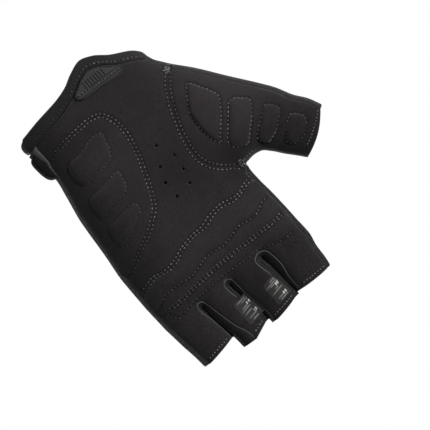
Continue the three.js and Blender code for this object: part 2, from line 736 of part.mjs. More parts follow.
const thumbStrip = () => edgeStrip(
  (row) => placeOnThumb(THUMB_OUTER, row),
  -1,
  steps(THUMB_ROWS[0].outer - 0.08, 10, 16),
  () => STRIP_FRONT - SEAM_GAP,
  () => STRIP_BACK - SEAM_GAP,
);

const sidePiping = () => edgeStrip(
  (down) => handPlace(edgeAcross(LITTLE_SIDE, -down), -down),
  -1,
  [...steps(-littleTop, -1, 4), ...steps(-1, -PIPING_FOOT, 18).slice(1)],
  () => PIPING_FRONT - SEAM_GAP,
  () => STRIP_BACK - SEAM_GAP,
);

// A fourchette: s goes down one finger's side (0 to 1), round the web (1 to 2) and up the next
// finger's side (2 to 3), and w goes from the palm edge over the crest at 1 to the back edge at 2.
function fourchette(slit, index) {
  const crest = slitLine(slit, crestUp);
  const half = SLIT_WIDTH / 2;
  const cutEdge = (s) => {
    const turn = clamp(s - 1, 0, 1);
    const row = s < 1 ? 2 - s : 1 + Math.max(s - 2, 0);
    const left = fingerEdge(2 * index + 1, row, palmLeft, palmRight);
    const right = fingerEdge(2 * index + 2, row, palmLeft, palmRight);
    return left.lerp(right, turn);
  };
  const crestEdge = (s) => {
    const edge = cutEdge(s);
    if (edge.y > crest.y && s <= 1) return slitLine(slit, rise(edge.y)).add(new THREE.Vector2(-half, 0));
    if (edge.y > crest.y && s >= 2) return slitLine(slit, rise(edge.y)).add(new THREE.Vector2(half, 0));
    return crest.clone().add(edge.clone().sub(crest).setLength(half));
  };
  const at = (s, w) => {
    const reach = Math.abs(1 - w) ** 1.6;
    const edge = beside(cutEdge, s, SEAM_GAP);
    const place = crestEdge(s).lerp(edge, reach);
    return w < 1 ? palmSide(place.x, place.y) : backSide(place.x, place.y);
  };
  const legRows = STALL_ROWS.map((row) => row - 1);
  const path = [
    ...legRows.map((row) => 1 - row).reverse(),
    1.5,
    ...legRows.map((row) => 2 + row),
  ];
  return cloth(at, path, [0, 0.45, 0.8, 1, 1.2, 1.55, 2], { wall: GUSSET_WALL });
}

// The cuff: u goes once round the wrist, over the palm side (0 to 1) and back (1 to 2)
function cuffBand() {
  const frontHem = (x) => palmHem(x) - 1.6 * SEAM_GAP;
  const cuffFoot = (x) => {
    const level = palmHem(x);
    return level - CUFF_HEIGHT * (1 + 0.2 * smoothstep(x, 0, 0.3 * HAND_WIDTH) * (x < 0.42 * HAND_WIDTH ? 1 : 0.6));
  };
  const backTop = BACK_HEM - 1.6 * SEAM_GAP;
  const at = (u, v) => {
    const onBack = u > 1;
    const turned = onBack ? 2 - u : u;
    const share = 0.1 * turned + 0.45 * (1 - Math.cos(Math.PI * turned));
    let x = lerp(-0.45, 0.45, share) * HAND_WIDTH;
    let z = 0;
    for (let pass = 0; pass < 4; pass += 1) {
      const top = onBack ? lerp(backTop, frontHem(x), edgeBlend(share)) : frontHem(x);
      const foot = onBack ? lerp(-CUFF_BACK_HEIGHT, cuffFoot(x), edgeBlend(share)) : cuffFoot(x);
      z = lerp(foot, top, v);
      x = lerp(edgeX(THENAR_SEAM, z), edgeX(LITTLE_SIDE, z), share);
    }
    return onBack ? backSide(x, z) : palmSide(x, z);
  };
  return cloth(at, steps(0, 2, 44), [0, 1], { wall: CUFF_WALL });
}
const edgeBlend = (share) => 1 - smoothstep(Math.min(share, 1 - share), 0, 0.08);

// A domed pad inside a closed outline, as rings round its middle
function islandPad(corners) {
  const outline = new THREE.SplineCurve([...corners, corners[0]].map(([across, up]) => handPlace(across, up)));
  const middle = corners.reduce((sum, [across, up]) => sum.add(handPlace(across, up)), new THREE.Vector2())
    .divideScalar(corners.length);
  const turnsRight = THREE.ShapeUtils.area(outline.getPoints(40)) > 0;
  const at = (radius, turn) => {
    const place = middle.clone().lerp(outline.getPoint(turnsRight ? turn % 1 : (1 - turn) % 1), radius);
    return palmSide(place.x, place.y);
  };
  return cloth(at, [0, 0.36, 0.68, 0.9, 1], steps(0, 1, 16), {
    wall: (radius) => PAD_EDGE + PAD_RISE * Math.sqrt(1 - Math.min(radius, 1) ** 2),
    lift: LAY_GAP,
  });
}

// A roll under the fingers, between two of the lines that run across the palm
function bandPad(low, high) {
  const first = BAND_LINES[0].across;
  const last = BAND_LINES[BAND_LINES.length - 1].across;
  const at = (u, v) => {
    const across = lerp(first, last, u);
    const up = lerp(
      through(BAND_LINES, 'across', low, across),
      through(BAND_LINES, 'across', high, across),
      v,
    );
    const place = handPlace(across, up);
    const leftEdge = palmLeft(place.y) + 1;
    const rightEdge = palmRight(place.y) - 1;
    place.x = lerp(leftEdge, rightEdge, u);
    return palmSide(place.x, place.y);
  };
  return cloth(at, steps(0, 1, 18), [0, 0.2, 0.5, 0.8, 1], {
    wall: (u, v) => PAD_EDGE + BAND_RISE * Math.sin(Math.PI * clamp(v, 0, 1)),
    lift: LAY_GAP,
  });
}

function cuffLabel() {
  const first = LABEL_LINES[0].across;
  const last = LABEL_LINES[LABEL_LINES.length - 1].across;
  const at = (u, v) => {
    const across = lerp(first, last, u);
    const top = through(LABEL_LINES, 'across', 'top', across);
    const bottom = through(LABEL_LINES, 'across', 'bottom', across);
    return palmSide(across * HAND_WIDTH, lerp(bottom, top, v) * PALM_LENGTH);
  };
  return cloth(at, steps(0, 1, 14), steps(0, 1, 3), { wall: LABEL_WALL, lift: LAY_GAP });
}

// A woven tab whose one side lies along the edge of a slit
function pullTab({ slit, right, low, high, tilt }) {
  const at = (u, v) => {
    const up = lerp(low, high, v) + tilt * u;
    const left = through(SLITS[slit].rows, 'up', 'right', up) + 0.01;
    const place = handPlace(lerp(left, right, u), up);
    return palmSide(place.x, place.y);
  };
  return cloth(at, steps(0, 1, 4), steps(0, 1, 5), { wall: TAB_WALL, lift: LAY_GAP });
}

// The strap: u goes from its end, just round the little-finger side, across the back of the wrist
function closureStrap() {
  const wrapped = 0.06;
  const at = (u, v) => {
    const z = STRAP_START + v * STRAP_WIDTH;
    const edge = edgeX(LITTLE_SIDE, z);
    if (u < wrapped) return palmSide(edge - PIPING_FRONT * (1 - u / wrapped) ** 2, z);
    const along = (u - wrapped) / (1 - wrapped);
    return backSide(edge - STRAP_LENGTH * along ** 1.5, z);
  };
  const us = [0, 0.03, wrapped, 0.08, 0.11, 0.15, 0.2, ...steps(0.27, 1, 10)];
  return cloth(at, us, steps(0, 1, 4), {
    wall: (u) => lerp(STRAP_FOLD_WALL, STRAP_WALL, smoothstep(u, 0.05, 0.35)),
    lift: LAY_GAP,
  });
}

const suede = { color: 0x2f2c2e, roughness: 0.95, metalness: 0 };
const stretch = { color: 0x232224, roughness: 0.9, metalness: 0 };
const greyTrim = { color: 0x77757a, roughness: 0.8, metalness: 0 };
const woven = { color: 0x4a4749, roughness: 0.85, metalness: 0 };
const hookAndLoop = { color: 0x1c1b1c, roughness: 1, metalness: 0 };

const glove = new THREE.Group();
function add(name, geometry, finish) {
  geometry.computeVertexNormals();
  const mesh = new THREE.Mesh(geometry, new THREE.MeshStandardMaterial(finish));
  mesh.name = name;
  glove.add(mesh);
}

add('palm_panel', palmPanel(), suede);
add('thumb_panel', thumbPanel(), suede);
add('back_panel', backPanel(), stretch);
add('thumb_back', thumbBack(), stretch);
add('index_side_strip', indexStrip(), stretch);
add('thumb_side_strip', thumbStrip(), stretch);
add('side_piping', sidePiping(), greyTrim);
SLITS.forEach((slit, index) => add(`fourchette_${slit.name}`, fourchette(slit, index), stretch));
[...HEEL_PADS, ...THUMB_PADS].forEach(({ name, corners }) => add(name, islandPad(corners), suede));
add('band_pad_lower', bandPad('low', 'lowTop'), suede);
add('band_pad_upper', bandPad('highBottom', 'high'), suede);
add('cuff_band', cuffBand(), stretch);
add('cuff_label', cuffLabel(), woven);
PULL_TABS.forEach((tab) => add(tab.name, pullTab(tab), woven));
add('closure_strap', closureStrap(), hookAndLoop);

export default glove;
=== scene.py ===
# %% [markdown]
# # A fingerless cycling glove, cut from suede and stretch cloth
#
# The glove is for the left hand and we look at its palm. The palm and the thumb are soft
# charcoal suede, quilted over thin foam so that the palm takes the shocks of the handlebar.
# The back is stretch cloth, gussets join the fingers, a smooth elastic cuff closes the wrist,
# and a strap folds over the back of it. Hundreds of grey stitches draw the pattern that we see.
#
# The CAD model gives the places and sizes. Here every cloth is made again as a dense surface,
# because quilting, seams and stitches are what the eye reads on a black glove.

# %% Load the frame
import math

import bpy
import numpy as np
from mathutils import Matrix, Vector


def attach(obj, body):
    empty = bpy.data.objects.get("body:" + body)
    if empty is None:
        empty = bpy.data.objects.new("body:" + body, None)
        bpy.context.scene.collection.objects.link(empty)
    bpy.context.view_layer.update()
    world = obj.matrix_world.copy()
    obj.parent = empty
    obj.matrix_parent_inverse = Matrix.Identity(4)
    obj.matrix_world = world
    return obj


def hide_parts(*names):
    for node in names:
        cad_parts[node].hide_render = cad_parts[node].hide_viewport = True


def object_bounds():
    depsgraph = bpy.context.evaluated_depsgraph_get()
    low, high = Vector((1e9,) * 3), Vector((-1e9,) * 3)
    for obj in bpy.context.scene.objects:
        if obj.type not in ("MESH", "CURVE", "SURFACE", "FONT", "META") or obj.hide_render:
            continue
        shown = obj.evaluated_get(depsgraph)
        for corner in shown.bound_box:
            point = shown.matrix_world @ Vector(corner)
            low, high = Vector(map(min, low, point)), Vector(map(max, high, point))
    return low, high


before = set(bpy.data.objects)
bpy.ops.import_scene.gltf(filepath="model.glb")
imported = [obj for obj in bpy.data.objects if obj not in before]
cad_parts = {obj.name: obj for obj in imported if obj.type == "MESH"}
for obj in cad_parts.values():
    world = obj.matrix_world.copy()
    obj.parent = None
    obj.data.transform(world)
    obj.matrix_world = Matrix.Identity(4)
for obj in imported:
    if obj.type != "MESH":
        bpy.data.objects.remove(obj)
cad_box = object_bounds()
print("nodes:", len(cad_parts))

# %% [markdown]
# ## The sizes of the hand
#
# The CAD model describes the glove with a few sizes and short tables of shares. The same
# sizes and tables are repeated here, in millimetres, so that each cloth lies where its solid
# lies. A share across is taken of the hand's width, a share up of the palm's length, and from
# 1 to 2 of the length of the finger stalls.

# %% Sizes and tables of the form
HAND_WIDTH, PALM_LENGTH, STALL_LENGTH, THUMB_REACH = 94.0, 124.0, 31.0, 52.0
FRONT_DEPTHS = {"palm": 16.0, "wrist": 18.0, "stall": 10.8, "thumb": 13.0}
BACK_DEPTHS = {"palm": 14.5, "wrist": 18.0, "stall": 10.8, "thumb": 13.0}
ROUNDINGS = {"palm": 21.0, "wrist": 26.0, "stall": 10.6, "thumb": 14.5}
FINGER_CURL, THUMB_CURL = 8.0, 7.0
SUEDE_WALL, STRETCH_WALL, GUSSET_WALL, CUFF_WALL = 1.8, 1.3, 1.2, 2.2
STRIP_WALL, LABEL_WALL, TAB_WALL, STRAP_WALL, STRAP_FOLD_WALL = 1.5, 1.3, 1.1, 2.4, 4.2
STRIP_FRONT, PIPING_FRONT, STRIP_BACK = 1.8, 2.3, 1.2
SLIT_WIDTH, SEAM_GAP, CREST_RISE = 0.6, 0.36, 4.2
CUFF_HEIGHT, CUFF_BACK_HEIGHT, BACK_HEM = 7.2, 8.0, 3.0
AIR_HOLE, STRAP_WIDTH, STRAP_LENGTH, STRAP_START = 1.5, 17.0, 70.0, 3.6

# up, share of the width
LITTLE_SIDE = np.array([
    [-0.3, 0.46], [-0.02, 0.457], [0.02, 0.447], [0.09, 0.42], [0.17, 0.413], [0.26, 0.431],
    [0.39, 0.461], [0.57, 0.479], [0.72, 0.497], [0.85, 0.496], [1.0, 0.486], [1.43, 0.468],
    [1.7, 0.454], [1.95, 0.446], [2.4, 0.44],
])
INDEX_SIDE = np.array([
    [0.665, -0.498], [0.7, -0.4925], [0.75, -0.495], [0.84, -0.506], [0.976, -0.514],
    [1.29, -0.519], [1.58, -0.503], [1.81, -0.499], [2.0, -0.4915], [2.4, -0.489],
])
THENAR_SEAM = np.array([
    [-0.1, -0.44], [0.024, -0.4617], [0.065, -0.495], [0.093, -0.519], [0.108, -0.53],
    [0.118, -0.505], [0.14, -0.478], [0.191, -0.427], [0.262, -0.3755], [0.3645, -0.3255],
    [0.446, -0.302], [0.489, -0.299], [0.527, -0.304], [0.56, -0.3245], [0.589, -0.351],
    [0.6145, -0.388], [0.637, -0.4277], [0.661, -0.495],
])
BACK_SEAM = np.array([
    [-0.1, -0.44], [0.024, -0.4617], [0.065, -0.495], [0.093, -0.519], [0.108, -0.53],
    [0.118, -0.508], [0.25, -0.485], [0.45, -0.478], [0.661, -0.495],
])
# out, up
THUMB_OUTER = np.array([
    [-0.15, -0.3], [-0.108, -0.1], [-0.07, 0.024], [0.036, 0.093], [0.228, 0.189], [0.431, 0.305],
    [0.648, 0.426], [0.747, 0.486], [0.839, 0.561], [0.937, 0.619], [1.004, 0.68], [1.1, 0.78],
])
THUMB_INNER = np.array([
    [0.68, 0.9], [0.534, 0.818], [0.456, 0.778], [0.373, 0.738], [0.288, 0.693], [0.204, 0.662],
    [0.1, 0.6555], [0.02, 0.6595], [-0.0098, 0.661],
])
THUMB_ROWS = np.array([
    [0, 3.16], [0.13, 4.1], [0.27, 5.0], [0.46, 5.5], [0.61, 6.0], [0.76, 6.6], [0.87, 7.3],
    [0.96, 7.65], [1, 7.8], [1.17, 8.2], [1.33, 8.6], [1.5, 9.0], [1.75, 9.5], [2, 10],
])
# up, left, line, right
SLITS = {
    "index_middle": np.array([
        [1.0, -0.226, -0.216, -0.205], [1.03, -0.25, -0.217, -0.184], [1.1, -0.266, -0.219, -0.168],
        [1.4, -0.279, -0.233, -0.187], [1.7, -0.266, -0.24, -0.214], [2.0, -0.268, -0.246, -0.223],
        [2.4, -0.268, -0.248, -0.226],
    ]),
    "middle_ring": np.array([
        [1.0, 0.022, 0.032, 0.042], [1.03, 0.007, 0.031, 0.056], [1.1, -0.001, 0.029, 0.064],
        [1.4, -0.009, 0.017, 0.044], [1.7, -0.027, -0.007, 0.012], [2.0, -0.041, -0.019, 0.003],
        [2.4, -0.046, -0.024, 0.0],
    ]),
    "ring_little": np.array([
        [1.0, 0.228, 0.238, 0.248], [1.03, 0.216, 0.238, 0.26], [1.1, 0.208, 0.238, 0.266],
        [1.4, 0.184, 0.231, 0.244], [1.7, 0.159, 0.216, 0.228], [2.0, 0.119, 0.203, 0.216],
        [2.4, 0.11, 0.198, 0.214],
    ]),
}
STALL_TOPS = np.array([[1.985, 1.97], [2.01, 2.105], [2.01, 2.12], [1.85, 1.945]])
# across, dip
PALM_HEM = np.array([
    [-0.53, 0.03], [-0.4607, 0.024], [-0.39, -0.0025], [-0.298, -0.036], [-0.213, -0.081],
    [-0.135, -0.101], [-0.05, -0.081], [0.035, -0.048], [0.141, -0.0225], [0.284, -0.0025],
    [0.454, 0.0137], [0.53, 0.015],
])
# across, up, wide, tall, rise
MUSCLES = np.array([
    [-0.53, 0.42, 0.2, 0.22, 3.4], [0.26, 0.36, 0.17, 0.25, 3.2],
    [-0.07, 0.5, 0.16, 0.2, -3.2], [0.0, 0.86, 0.5, 0.09, 1.4],
])

# %% [markdown]
# ## Curves through the tables
#
# A sewn edge runs smoothly through its table's rows. Any spline would do that, but a common
# one swings past the rows where they turn sharply. So each stretch is a cubic whose slopes are
# the harmonic mean of its neighbours' slopes, which never overshoots.

# %% Curves and places
def smooth_curve(rows, column, at):
    """A cubic between neighbouring rows, with the harmonic mean of the steepnesses as its slopes."""
    keys, values = rows[:, 0], rows[:, column]
    steep = np.diff(values) / np.diff(keys)
    slopes = np.concatenate([steep[:1], np.zeros(len(keys) - 2), steep[-1:]])
    product, total = steep[:-1] * steep[1:], steep[:-1] + steep[1:]
    slopes[1:-1] = np.where(product > 0, 2 * product / np.where(total == 0, 1, total), 0)
    at = np.clip(np.asarray(at, float), keys[0], keys[-1])
    row = np.clip(np.searchsorted(keys, at) - 1, 0, len(keys) - 2)
    span = keys[row + 1] - keys[row]
    t = (at - keys[row]) / span
    s = 1 - t
    return (values[row] * (1 + 2 * t) * s * s + values[row + 1] * (3 - 2 * t) * t * t
            + span * (slopes[row] * t * s * s - slopes[row + 1] * t * t * s))


def smoothstep(value, low, high):
    """0 below low, 1 above high, and 3t^2 - 2t^3 between them."""
    t = np.clip((value - low) / (high - low), 0, 1)
    return t * t * (3 - 2 * t)


def bell(distance, width):
    """1 at no distance and e^-1 at the width: e to the power of -(distance / width)^2."""
    return np.exp(-((distance / width) ** 2))


def unit(vectors, least=1e-12):
    """The same directions with length 1. The least length keeps a lost direction from dividing by 0."""
    return vectors / np.maximum(np.linalg.norm(vectors, axis=-1, keepdims=True), least)


def runs(*stops):
    """Even numbers from stop to stop: a start, how many, the next stop, how many, up to the last stop."""
    starts, counts, ends = stops[:-2:2], stops[1::2], stops[2::2]
    pieces = [np.linspace(start, end, count, endpoint=False) for start, count, end in zip(starts, counts, ends)]
    return np.concatenate([*pieces[:-1], np.linspace(starts[-1], ends[-1], counts[-1])])


def height(up):
    """Shares of the palm's length up to 1, then shares of the finger stalls' length."""
    return np.where(up <= 1, up * PALM_LENGTH, PALM_LENGTH + (up - 1) * STALL_LENGTH)


def rise(z):
    """The share up that belongs to a height: the inverse of height."""
    return np.where(z <= PALM_LENGTH, z / PALM_LENGTH, 1 + (z - PALM_LENGTH) / STALL_LENGTH)


def edge_x(rows, z, column=1):
    """Where an outline, or one column of a slit's table, stands at a height."""
    return HAND_WIDTH * smooth_curve(rows, column, rise(z))


def hand_line(rows, ups, column=1):
    """Points of a hand outline, or of one column of a slit's table, as x and z."""
    ups = np.asarray(ups, float)
    return np.stack([HAND_WIDTH * smooth_curve(rows, column, ups), height(ups)], -1)


def thumb_line(rows, at):
    """Points of a thumb outline: out and up run smoothly over the rows' numbers."""
    numbered = np.column_stack([np.arange(len(rows)), rows])
    out, up = smooth_curve(numbered, 1, at), smooth_curve(numbered, 2, at)
    return np.stack([-HAND_WIDTH / 2 - out * THUMB_REACH, height(up)], -1)


# %% [markdown]
# ## The form of the filled glove
#
# Seen from the palm, the glove is an outline. A hand fills it like a cushion, so the height of
# the cloth depends on how far a place is from the nearest edge: it rises in a quarter ellipse
# and then runs level. The slits between the fingers count as edges too, which rounds each
# finger on its own. Swellings and hollows add the balls of the hand, and the fingers and the
# thumb curl towards the palm.

# %% Heights of the palm side and of the back
CREST_UP = 1 + CREST_RISE / STALL_LENGTH
EDGE_LINES = [
    hand_line(LITTLE_SIDE, np.linspace(-0.3, 2.4, 91)),
    np.vstack([thumb_line(THUMB_INNER, np.linspace(0, 8, 57)),
               hand_line(INDEX_SIDE, np.linspace(0.665, 2.4, 61))]),
    np.vstack([hand_line(THENAR_SEAM, np.linspace(-0.3, 0.09, 31)),
               thumb_line(THUMB_OUTER, np.linspace(3, 11, 61))]),
]
CREST_LINES = [hand_line(rows, np.linspace(CREST_UP, 2.4, 21), 2) for rows in SLITS.values()]


def distance_to(line, x, z):
    """The shortest distance from each place to a chain of straight pieces."""
    places = np.stack([np.ravel(x), np.ravel(z)], -1)
    least = np.full(len(places), np.inf)
    for start, end in zip(line[:-1], line[1:]):
        along = end - start
        share = np.clip((places - start) @ along / max(along @ along, 1e-12), 0, 1)
        least = np.minimum(least, np.hypot(*(places - start - share[:, None] * along).T))
    return least.reshape(np.shape(x))


def distance_from_edge(x, z):
    """The least distance to the outline and to the slits, whose half width is taken off."""
    least = np.min([distance_to(line, x, z) for line in EDGE_LINES], axis=0)
    slits = np.min([distance_to(line, x, z) for line in CREST_LINES], axis=0)
    return np.minimum(least, np.maximum(slits - SLIT_WIDTH / 2, 0))


THUMB_ROOT = np.array([-HAND_WIDTH / 2 - 0.21 * THUMB_REACH, 0.484 * PALM_LENGTH])
THUMB_MOUTH = np.array([-HAND_WIDTH / 2 - 0.769 * THUMB_REACH, 0.749 * PALM_LENGTH])


def along_thumb(x, z):
    """0 on the hand, growing to 1 at the thumb's opening."""
    axis = THUMB_MOUTH - THUMB_ROOT
    share = ((x - THUMB_ROOT[0]) * axis[0] + (z - THUMB_ROOT[1]) * axis[1]) / (axis @ axis)
    return np.clip(share, 0, 1.3) * smoothstep((-HAND_WIDTH / 2 - x) / THUMB_REACH, 0, 0.35)


def mixed(x, z, sizes):
    """One size each for palm, wrist, stalls and thumb, blended smoothly from place to place."""
    wrist = 1 - smoothstep(z, -0.05 * PALM_LENGTH, 0.35 * PALM_LENGTH)
    stalls = smoothstep(z, 0.8 * PALM_LENGTH, 1.08 * PALM_LENGTH)
    thumb = smoothstep(along_thumb(x, z), 0, 0.9)
    hand = sizes["palm"] + (sizes["wrist"] - sizes["palm"]) * wrist
    hand = hand + (sizes["stall"] - hand) * stalls
    return hand + (sizes["thumb"] - hand) * thumb


def middle_y(x, z):
    """The surface between palm side and back, bent forward by the square of the share along."""
    finger = np.clip((z / PALM_LENGTH - 0.8) / 0.45, 0, 1.2)
    thumb = along_thumb(x, z)
    return -FINGER_CURL * finger**2 * (1 - smoothstep(thumb, 0, 0.9)) - THUMB_CURL * thumb**2


def fullness(x, z):
    """A quarter ellipse: the root of 1 - (1 - distance / rounding)^2, and 1 beyond the rounding."""
    share = np.minimum(distance_from_edge(x, z) / mixed(x, z, ROUNDINGS), 1)
    return np.sqrt(1 - (1 - share) ** 2)


def hills(rows, x, z):
    """Bell-shaped swellings and hollows, added up. A row holds a place, its two widths and its rise."""
    return sum(r * np.exp(-(((x - a) / w) ** 2) - ((z - u) / t) ** 2) for a, u, w, t, r in rows)


def palm_side(x, z):
    """The height of the palm side: the middle, less fullness times depth and muscles."""
    depth = mixed(x, z, FRONT_DEPTHS) + hills(MUSCLES, x / HAND_WIDTH, z / PALM_LENGTH)
    return middle_y(x, z) - SEAM_GAP / 2 - fullness(x, z) * depth


def back_side(x, z):
    """The height of the back: the middle, plus fullness times depth."""
    return middle_y(x, z) + SEAM_GAP / 2 + fullness(x, z) * mixed(x, z, BACK_DEPTHS)


print("palm centre, mm:", float(palm_side(np.float64(0), np.float64(60))))

# %% [markdown]
# ## From a grid to a cloth
#
# Each cloth starts as a grid of places on the glove's surface. The slopes of the grid along
# its two ways give the direction that points out of the cloth. Moving the grid along it
# gives an outer and an inner skin, and a rim closes them along every free edge. The skins
# draw together near the rim, so that a cut edge looks rounded and not sawn off.

# %% Surface points, grids and closed shells
MM = 0.001


def on_side(side, x, z):
    """Places on a side of the glove."""
    return np.stack([x, side(x, z), z], -1)


def on_sides(palmward, x, z):
    """Places on the palm side where palmward is true, and on the back elsewhere."""
    return np.stack([x, np.where(palmward, palm_side(x, z), back_side(x, z)), z], -1)


def outwards_of(side, x, z, step=0.1):
    """The outward direction of a side, from its slopes over a fifth of a millimetre."""
    slope_x = (side(x + step, z) - side(x - step, z)) / (2 * step)
    slope_z = (side(x, z + step) - side(x, z - step)) / (2 * step)
    normal = np.stack([-slope_x, np.ones_like(slope_x), -slope_z], -1)
    return unit(normal * (-1 if side is palm_side else 1))


def grid_outwards(points, reach=1):
    """The outward direction of a grid: its slope over reach rows, crossed with that along its columns."""
    row = np.arange(len(points))
    ahead, behind = np.minimum(row + reach, len(points) - 1), np.maximum(row - reach, 0)
    return unit(np.cross(points[ahead] - points[behind], np.gradient(points, axis=1)), 1e-9)


def grid_quads(rows, columns, keep=None):
    """The four corners of every cell of a grid, in turn, where keep is true."""
    number = np.arange(rows * columns).reshape(rows, columns)
    quads = np.stack([number[:-1, :-1], number[1:, :-1], number[1:, 1:], number[:-1, 1:]], -1)
    return quads[keep] if keep is not None else quads.reshape(-1, 4)


def free_edges(quads):
    """The directed edges that no other cell runs along the other way."""
    edges = np.concatenate([quads[:, [i, (i + 1) % 4]] for i in range(4)])
    size = int(quads.max()) + 1
    return edges[~np.isin(edges[:, 0] * size + edges[:, 1], edges[:, 1] * size + edges[:, 0])]


def rings_from_rim(quads, count):
    """0 on the rim of the cloth, 1 a cell further in, 2 the next, and 3 everywhere else."""
    rings = np.full(count, 3)
    rings[free_edges(quads)] = 0
    for _ in range(2):
        least = rings[quads].min(axis=1) + 1
        for corner in range(4):
            np.minimum.at(rings, quads[:, corner], least)
    return rings


def add_object(name, data):
    """A new object in the scene, at the origin."""
    piece = bpy.data.objects.new(name, data)
    bpy.context.collection.objects.link(piece)
    return piece


def make_mesh(name, points, quads, marks=None):
    """A smooth-shaded mesh from points in millimetres, cells of four corners, and numbers per point."""
    mesh = bpy.data.meshes.new(name)
    mesh.vertices.add(len(points))
    mesh.vertices.foreach_set("co", (points * MM).astype(np.float32).ravel())
    mesh.loops.add(quads.size)
    mesh.loops.foreach_set("vertex_index", quads.astype(np.int32).ravel())
    mesh.polygons.add(len(quads))
    mesh.polygons.foreach_set("loop_start", np.arange(0, quads.size, 4, dtype=np.int32))
    mesh.polygons.foreach_set("use_smooth", np.ones(len(quads), bool))
    mesh.update(calc_edges=True)
    mesh.validate()
    for key, values in (marks or {}).items():
        mesh.attributes.new(key, "FLOAT", "POINT").data.foreach_set("value", values.astype(np.float32))
    return add_object(name, mesh)


def sew_cloth(name, points, normals, quads, wall, lift=0.0, bottom=None, round_rim=0.5, marks=None):
    """Two skins and a rim: the outer skin stands lift over the points, the inner one a wall below it."""
    count = len(points)
    top = np.broadcast_to(np.asarray(lift, float), (count,)).copy()
    under = top - wall if bottom is None else np.broadcast_to(np.asarray(bottom, float), (count,)).copy()
    thick = top - under
    sink = np.array([round_rim, round_rim * 0.3, round_rim * 0.06, 0])[rings_from_rim(quads, count)]
    top = top - sink * thick * 0.5
    under = under + sink * thick * 0.35
    skins = np.concatenate([points + normals * top[:, None], points + normals * under[:, None]])
    edges = free_edges(quads)
    rim = np.stack([edges[:, 1], edges[:, 0], edges[:, 0] + count, edges[:, 1] + count], -1)
    cells = np.concatenate([quads, quads[:, ::-1] + count, rim])
    both = {key: np.concatenate([values, values]) for key, values in (marks or {}).items()}
    piece = make_mesh(name, skins, cells, both)
    print(f"{name}: {2 * len(cells)} triangles")
    return piece


def sew_grid(name, grid, wall, out=None, quads=None, lift=0.0, bottom=None, round_rim=0.5, marks=None):
    """The same for a whole grid, over which a lift, a bottom and marks given by row or column are spread."""
    def spread(values):
        return np.broadcast_to(values, grid.shape[:2]).ravel()

    out = grid_outwards(grid) if out is None else out
    quads = grid_quads(*grid.shape[:2]) if quads is None else quads
    return sew_cloth(name, grid.reshape(-1, 3), out.reshape(-1, 3), quads, wall, spread(lift),
                     None if bottom is None else spread(bottom), round_rim,
                     {key: spread(values) for key, values in (marks or {}).items()})


def finish_piece(piece, slot, material, *nodes):
    """Give a piece its finish, let it ride with the glove and stand for its CAD nodes."""
    piece.data.materials.append(material)
    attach(piece, "root")
    if nodes:
        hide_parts(*nodes)
    return piece


# %% [markdown]
# ## The stitched pattern
#
# Two rows of stitches hold each seam between two cloths, and single rows quilt the foam under
# the suede: four islands on the thumb, three on the heel of the hand, and long rolls under the
# fingers. The rows are written down once, as x and z in millimetres. They shape the cloth,
# which sinks along each row, and later they carry the stitches.

# %% The rows of stitches
THENAR_ROWS = [np.array([
    [-43.3, 82.4], [-38.9, 79.2], [-34.8, 76.5], [-31.4, 73], [-29.2, 69.9], [-27.3, 65.9], [-26.7, 60.9],
    [-27, 55.3], [-27.9, 50.9], [-29.5, 44.6], [-32, 37.8], [-34.2, 31.5], [-37, 26.5], [-39.5, 22.1],
    [-42.6, 17.8], [-45.1, 15.3], [-47.6, 13.4],
]), np.array([
    [-44.5, 80.4], [-41.4, 78.3], [-38.3, 75.9], [-34.8, 72.8], [-32, 69], [-30.1, 64.6], [-29.5, 60.3],
    [-29.8, 55.3], [-30.8, 50.9], [-31.7, 45.9], [-33.9, 39.6], [-36.4, 33.4], [-38.9, 28.4],
    [-40.8, 25.3], [-43.3, 21.5], [-45.8, 18.4], [-48.3, 15.3],
])]
THUMB_ISLANDS = [np.array([
    [-43.6, 64.6], [-41.1, 60.9], [-40.1, 56.5], [-39.8, 50.9], [-40.1, 44], [-41.1, 40.3], [-45.4, 33.4],
    [-49.5, 28], [-51.4, 28.3], [-54.8, 34], [-57, 37.8], [-58.9, 42.1], [-58.7, 44.9], [-54.5, 51.2],
    [-51.1, 55.3], [-47.6, 59], [-45.1, 61.5],
]), np.array([
    [-54.5, 74.6], [-52, 74], [-49.8, 72.9], [-46.4, 69.9], [-46.7, 67.1], [-49.8, 62.8], [-52.9, 59.3],
    [-56.1, 55.6], [-60.8, 50.3], [-63.9, 50.1], [-66.1, 50.9], [-68.9, 53.7], [-70.8, 54.9], [-70.4, 57.8],
    [-67.9, 61.5], [-63.9, 65.9], [-60.4, 69.3], [-56.4, 73.4],
]), np.array([
    [-63.9, 81.2], [-66.4, 80.6], [-71.1, 78.7], [-75.4, 74.9], [-78.9, 72.4], [-80.4, 69.9], [-78.3, 66.1],
    [-76.7, 64.8], [-74.5, 64], [-69.2, 68.1], [-64.5, 71.5], [-62, 73.4], [-60.1, 75.9], [-61.4, 79],
]), np.array([
    [-86.7, 84.8], [-87.9, 82.1], [-85.6, 78.9], [-82.5, 76.7], [-79.2, 78.7], [-75.1, 82.1], [-71.4, 85.9],
    [-71.4, 87.8], [-73.6, 90.6], [-77.5, 91], [-82, 90], [-85.2, 87.8],
])]
